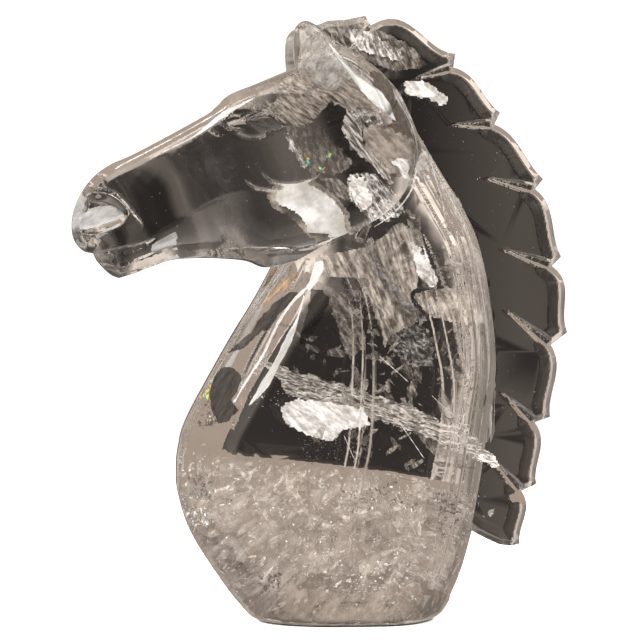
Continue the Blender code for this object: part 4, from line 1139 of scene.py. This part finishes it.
def lumps(grid, size, offset):
    """Smooth noise of about -1 to 1 at the points of a grid, with lumps of a size."""
    offset = Vector(offset)
    places = zip(grid.x.ravel().tolist(), grid.z.ravel().tolist())
    values = [noise.fractal(Vector((x, 0, z)) / size + offset, *LUMP_OCTAVES) for x, z in places]
    return np.reshape(values, grid.x.shape)


def patch(border, cell, ragged, offset):
    """A grid over an outline, and which of its points are kept within the outline's ragged edge and holes."""
    around = PATCH_MARGIN * cell
    grid = Grid(border.min(axis=0) - around, border.max(axis=0) + around, cell)
    fray = lumps(grid, FRAY_SIZE, offset)
    return grid, grid.inside_of(border) + ragged * UNIT * (fray - FRAY_LOSS) > 0


def squares(kept):
    """The grid squares with all four corners kept, each as its corners' places among the kept points."""
    number = np.cumsum(kept).reshape(kept.shape) - 1
    corners = [np.s_[:-1, :-1], np.s_[1:, :-1], np.s_[1:, 1:], np.s_[:-1, 1:]]
    whole = np.all([kept[corner] for corner in corners], axis=0)
    return np.column_stack([number[corner][whole] for corner in corners])


def sheet(name, material, depth, lean, ragged, crumple, border):
    """A crumpled sheet inside the stone, with a ragged edge and holes."""
    border = smooth_loop(border) * UNIT
    offset = (len(name), depth, ragged)
    grid, kept = patch(border, SHEET_CELL, ragged, offset)
    across = lumps(grid, CRUMPLE_SIZE, offset[::-1])
    middle = border.mean(axis=0)
    y = depth * UNIT + lean[0] * (grid.x - middle[0]) + lean[1] * (grid.z - middle[1]) + crumple * UNIT * across
    points = np.column_stack([grid.x[kept], y[kept], grid.z[kept]])
    used, faces = np.unique(squares(kept), return_inverse=True)
    piece(name, meshed(name, points[used], faces.reshape(-1, 4)), material)


def skin(name, material, deep, border, value, sides):
    """Sheets that follow the surface of the stone inside it, one on each side asked, more ragged the deeper."""
    grid, kept = patch(border * UNIT, SKIN_CELL, SKIN_FRAY * deep, (len(name), deep, 0))
    x, z = grid.x[kept], grid.z[kept]
    levels = np.linspace(form_box()[1][1], 0, SKIN_LEVELS)
    solid = value(x[:, None], levels, z[:, None])
    first = np.maximum((solid < 0).argmax(axis=1), 1)
    row = np.arange(len(x))
    outer, inner = solid[row, first - 1], solid[row, first]
    y = levels[first] + (levels[0] - levels[1]) * inner / (inner - outer) - deep * UNIT
    points = np.vstack([np.column_stack([x, y * side, z]) for side in sides])
    faces = np.vstack([squares(kept)[:, ::side] + i * len(x) for i, side in enumerate(sides)])
    mesh = meshed(name, points, faces)
    mesh.shade_smooth()
    piece(name, mesh, material)


def stripe(path, widths):
    """The outline of a stripe along a path, with its widths at even shares of its length."""
    path = smooth(path)
    along = np.gradient(path, axis=0)
    along /= np.linalg.norm(along, axis=1)[:, None]
    shares = np.linspace(0, 1, len(path))
    half = np.interp(shares, np.linspace(0, 1, len(widths)), widths)[:, None] / 2
    aside = np.column_stack([along[:, 1], -along[:, 0]]) * half
    return np.vstack([path + aside, (path - aside)[::-1]])


def threads(material):
    """Fine straight needles and cracks, each a three-sided rod."""
    points, faces = [], []
    for start, end in THREADS:
        start, end = np.array(start) * UNIT, np.array(end) * UNIT
        aside = np.cross(end - start, (0, 1, 0))
        aside *= THREAD / 2 / np.linalg.norm(aside)
        ring = [aside, -aside, (0, THREAD / 2, 0)]
        first = len(points)
        points += [start + corner for corner in ring] + [end + corner for corner in ring]
        faces += [[first + i, first + (i + 1) % 3, first + 3 + (i + 1) % 3, first + 3 + i] for i in range(3)]
    piece("threads", meshed("threads", points, faces), material)


def flakes(name, material, count, low, high, sizes, length, value, random):
    """A field of small flakes inside the stone, turned every way."""
    low, high = np.array(low) * UNIT, np.array(high) * UNIT
    middles = random.uniform(low, high, (count * FLAKE_TRIES, 3))
    reach = sizes[1] * length * UNIT / 2 + FLAKE_ROOM
    middles = middles[value(*middles.T) < -reach]
    if name.endswith("in_base"):
        top = np.interp(middles[:, 0], *line(FLARE_EDGE).T) - BELOW_FLARE
        middles = middles[middles[:, 2] + reach / 2 < top]
    middles = middles[:count]
    points = []
    for middle in middles:
        size = sizes[0] * (sizes[1] / sizes[0]) ** random.random() * UNIT / 2
        facing = random.normal(size=3) * (1, FACING, 1)
        along = np.cross(facing, random.normal(size=3))
        along /= np.linalg.norm(along)
        over = np.cross(facing, along)
        over /= np.linalg.norm(over)
        steps = np.arange(FLAKE_SIDES) + random.random(FLAKE_SIDES) * FLAKE_UNEVEN
        angles = steps / FLAKE_SIDES * 2 * np.pi
        reach = size * random.uniform(*FLAKE_REACH, (FLAKE_SIDES, 1))
        cos, sin = np.cos(angles)[:, None], np.sin(angles)[:, None]
        bend = cos**2 * np.cross(along, over) * size * random.uniform(-FLAKE_BEND, FLAKE_BEND)
        points.extend(middle + reach * (cos * along * length + sin * over) + bend)
    faces = np.arange(len(points)).reshape(-1, FLAKE_SIDES)
    piece(name, meshed(name, points, faces), material)


def rainbow_material():
    """Bands of spectral colour, as an air film in a crack shows them."""
    material, tree, shader = new_material("rainbow_film")
    place = add(tree, "TexCoord").outputs["Object"]
    grain = add(tree, "TexNoise", {"Vector": place, "Scale": RAINBOW_SCALE, "Detail": RAINBOW_DETAIL})
    colour = colour_along(tree, grain.outputs["Fac"], RAINBOW_BANDS)
    fill(tree, shader, {"Base Color": colour, "Roughness": RAINBOW_ROUGHNESS, "Alpha": RAINBOW_OPACITY})
    return material


def rainbows(random):
    """Small films that show spectral colours."""
    points = []
    for middle, size in RAINBOWS:
        for _ in range(RAINBOW_FLAKES):
            place = (np.array(middle) + random.normal(size=3) * size * RAINBOW_SPREAD) * UNIT
            angles = np.sort(random.random(RAINBOW_SIDES)) * 2 * np.pi
            reach = size * UNIT * random.uniform(*RAINBOW_REACH, RAINBOW_SIDES)
            lean = random.uniform(-RAINBOW_LEAN, RAINBOW_LEAN, 2)
            x, z = np.cos(angles), np.sin(angles)
            points.extend(place + reach[:, None] * np.column_stack([x, x * lean[0] + z * lean[1], z]))
    faces = np.arange(len(points)).reshape(-1, RAINBOW_SIDES)
    piece("rainbow_films", meshed("rainbow_films", points, faces), rainbow_material())


def sealed_in_the_stone(value):
    """The flaws of the stone, and the skins and sheets of painted highlight and shade, where value is the function
    that is negative inside it.
    """
    random = np.random.default_rng(SEED)
    materials = {name: finish(name) for name in FINISHES}
    for name, kind, *shape in SHEETS:
        sheet(name, materials[kind], *shape)
    for shapes, sides in ((SKINS, BOTH_SIDES), (FLAWS, NEAR_SIDE)):
        for name, kind, deep, border in shapes:
            skin(name, materials[kind], deep, smooth_loop(border), value, sides)
    # the stripes: painted highlights, and one rust streak
    for name, kind, deep, widths, path in STRIPES:
        skin(name, materials[kind], deep, stripe(path, widths), value, BOTH_SIDES)
    threads(materials["white_fleck"])
    for name, kind, *field in FIELDS:
        flakes(name, materials[kind], *field, value, random)
    rainbows(random)


def disc(name, radius, z, material):
    bpy.ops.mesh.primitive_circle_add(vertices=DISC_CORNERS, radius=radius, fill_type="NGON", location=(0, 0, z))
    floor = bpy.context.object
    floor.name = name
    floor.data.materials.append(material)
    return floor


def grounds():
    """The pale floor that the camera sees, and the tan table that shows only in the stone."""
    pale, tree, shader = new_material("pale_floor")
    fill(tree, shader, {"Base Color": (*FLOOR_COLOUR, 1), "Roughness": FLOOR_ROUGHNESS})
    floor = disc("pale_floor", FLOOR_RADIUS, FLOOR_HEIGHT, pale)
    floor.visible_transmission = False
    floor.visible_glossy = False
    glow, tree, shader = new_material("table_glow")
    tree.nodes.remove(shader)
    shader = add(tree, "Emission", {"Color": (*TABLE_COLOUR, 1), "Strength": 1.0})
    fill(tree, tree.nodes["Material Output"], {"Surface": shader.outputs[0]})
    table = disc("table_seen_through_the_stone", TABLE_RADIUS, TABLE_HEIGHT, glow)
    table.visible_camera = False
    table.visible_diffuse = False
    table.visible_shadow = False


def surroundings():
    """White to the camera and on matt faces, and the colours of the room in the stone."""
    world = bpy.data.worlds.new("studio")
    bpy.context.scene.world = world
    world.use_nodes = True
    world.cycles.sampling_method = "NONE"
    tree = world.node_tree
    white = tree.nodes["Background"]
    fill(tree, white, {"Color": (1, 1, 1, 1), "Strength": WHITE})
    room = add(tree, "Background", {"Color": room_colour(tree)})
    path = add(tree, "LightPath")
    rays = {0: path.outputs["Is Camera Ray"], 1: path.outputs["Is Diffuse Ray"]}
    plain = add(tree, "Math", rays, "MAXIMUM")
    mix = add(tree, "MixShader", {0: plain.outputs[0], 1: room.outputs[0], 2: white.outputs[0]})
    fill(tree, tree.nodes["World Output"], {"Surface": mix.outputs[0]})


def room_colour(tree):
    """What the stone shows of the room: dark ahead, paler above, below and to the sides, and uneven."""
    place = add(tree, "TexCoord").outputs["Generated"]
    parts = add(tree, "SeparateXYZ", {"Vector": place}).outputs

    def ramp(axis, stops):
        """Colours along one part of the direction, which runs from -1 to 1."""
        return colour_along(tree, spread(tree, parts[axis], -1, 1), [((1 + at) / 2, c) for at, c in stops])

    def tall(stops):
        return [(np.sin(np.radians(elevation)), colour) for elevation, colour in stops]

    sides, low_sides = [[(x, np.multiply(share, SIDE_COLOUR)) for x, share in stops]
                        for stops in (ROOM_SIDES, LOW_SIDES)]
    low_down = tall([(elevation, (share,) * 3) for elevation, share in LOW_DOWN])
    ramps = {0: ramp("X", low_sides), 1: ramp("Z", low_down), 2: ramp("X", sides)}
    across = add(tree, "VectorMath", ramps, "MULTIPLY_ADD")
    both = add(tree, "VectorMath", {0: ramp("Z", tall(ROOM_HEIGHTS)), 1: across.outputs["Vector"]}, "ADD")
    cloud = add(tree, "TexNoise", {"Vector": place, "Scale": ROOM_NOISE}).outputs["Fac"]
    uneven = spread(tree, cloud, *ROOM_NOISE_RANGE, *ROOM_UNEVEN)
    product = add(tree, "VectorMath", {0: both.outputs["Vector"], "Scale": uneven}, "SCALE")
    return product.outputs["Vector"]


def direction(azimuth, elevation):
    a, e = np.radians((azimuth, elevation))
    return Vector((np.sin(a) * np.cos(e), -np.cos(a) * np.cos(e), np.sin(e)))


def softbox(name, azimuth, elevation, distance, width, height, power):
    """A lit panel, which lights the flaws of the stone and shows in no face of it."""
    light = bpy.data.lights.new(name, "AREA")
    light.shape = "RECTANGLE"
    light.size, light.size_y = width, height
    light.energy = power
    lamp = bpy.data.objects.new(name, light)
    back = direction(azimuth, elevation)
    lamp.location = Vector((0, 0, HEIGHT / 2)) + distance * back
    lamp.rotation_euler = back.to_track_quat("Z", "Y").to_euler()
    lamp.visible_camera = lamp.visible_glossy = lamp.visible_transmission = False
    bpy.context.scene.collection.objects.link(lamp)


def camera():
    view = bpy.data.objects.new("camera", bpy.data.cameras.new("camera"))
    back = direction(CAMERA_AZIMUTH, CAMERA_ELEVATION)
    view.location = Vector(CAMERA_TARGET) + CAMERA_DISTANCE * back
    view.rotation_euler = back.to_track_quat("Z", "Y").to_euler()
    view.data.sensor_width = CAMERA_SENSOR
    view.data.lens = CAMERA_SENSOR * CAMERA_DISTANCE / CAMERA_SPAN
    bpy.context.scene.collection.objects.link(view)
    bpy.context.scene.camera = view


def light_paths():
    cycles = bpy.context.scene.cycles
    cycles.max_bounces = cycles.transmission_bounces = BOUNCES
    cycles.glossy_bounces = GLOSSY_BOUNCES
    cycles.diffuse_bounces = DIFFUSE_BOUNCES
    cycles.transparent_max_bounces = TRANSPARENT_BOUNCES
    cycles.caustics_reflective = cycles.caustics_refractive = False
    cycles.use_denoising = True
    bpy.context.scene.view_settings.view_transform = "Standard"


sealed_in_the_stone(carving())
grounds()
surroundings()
for box in SOFTBOXES:
    softbox(*box)
camera()
light_paths()
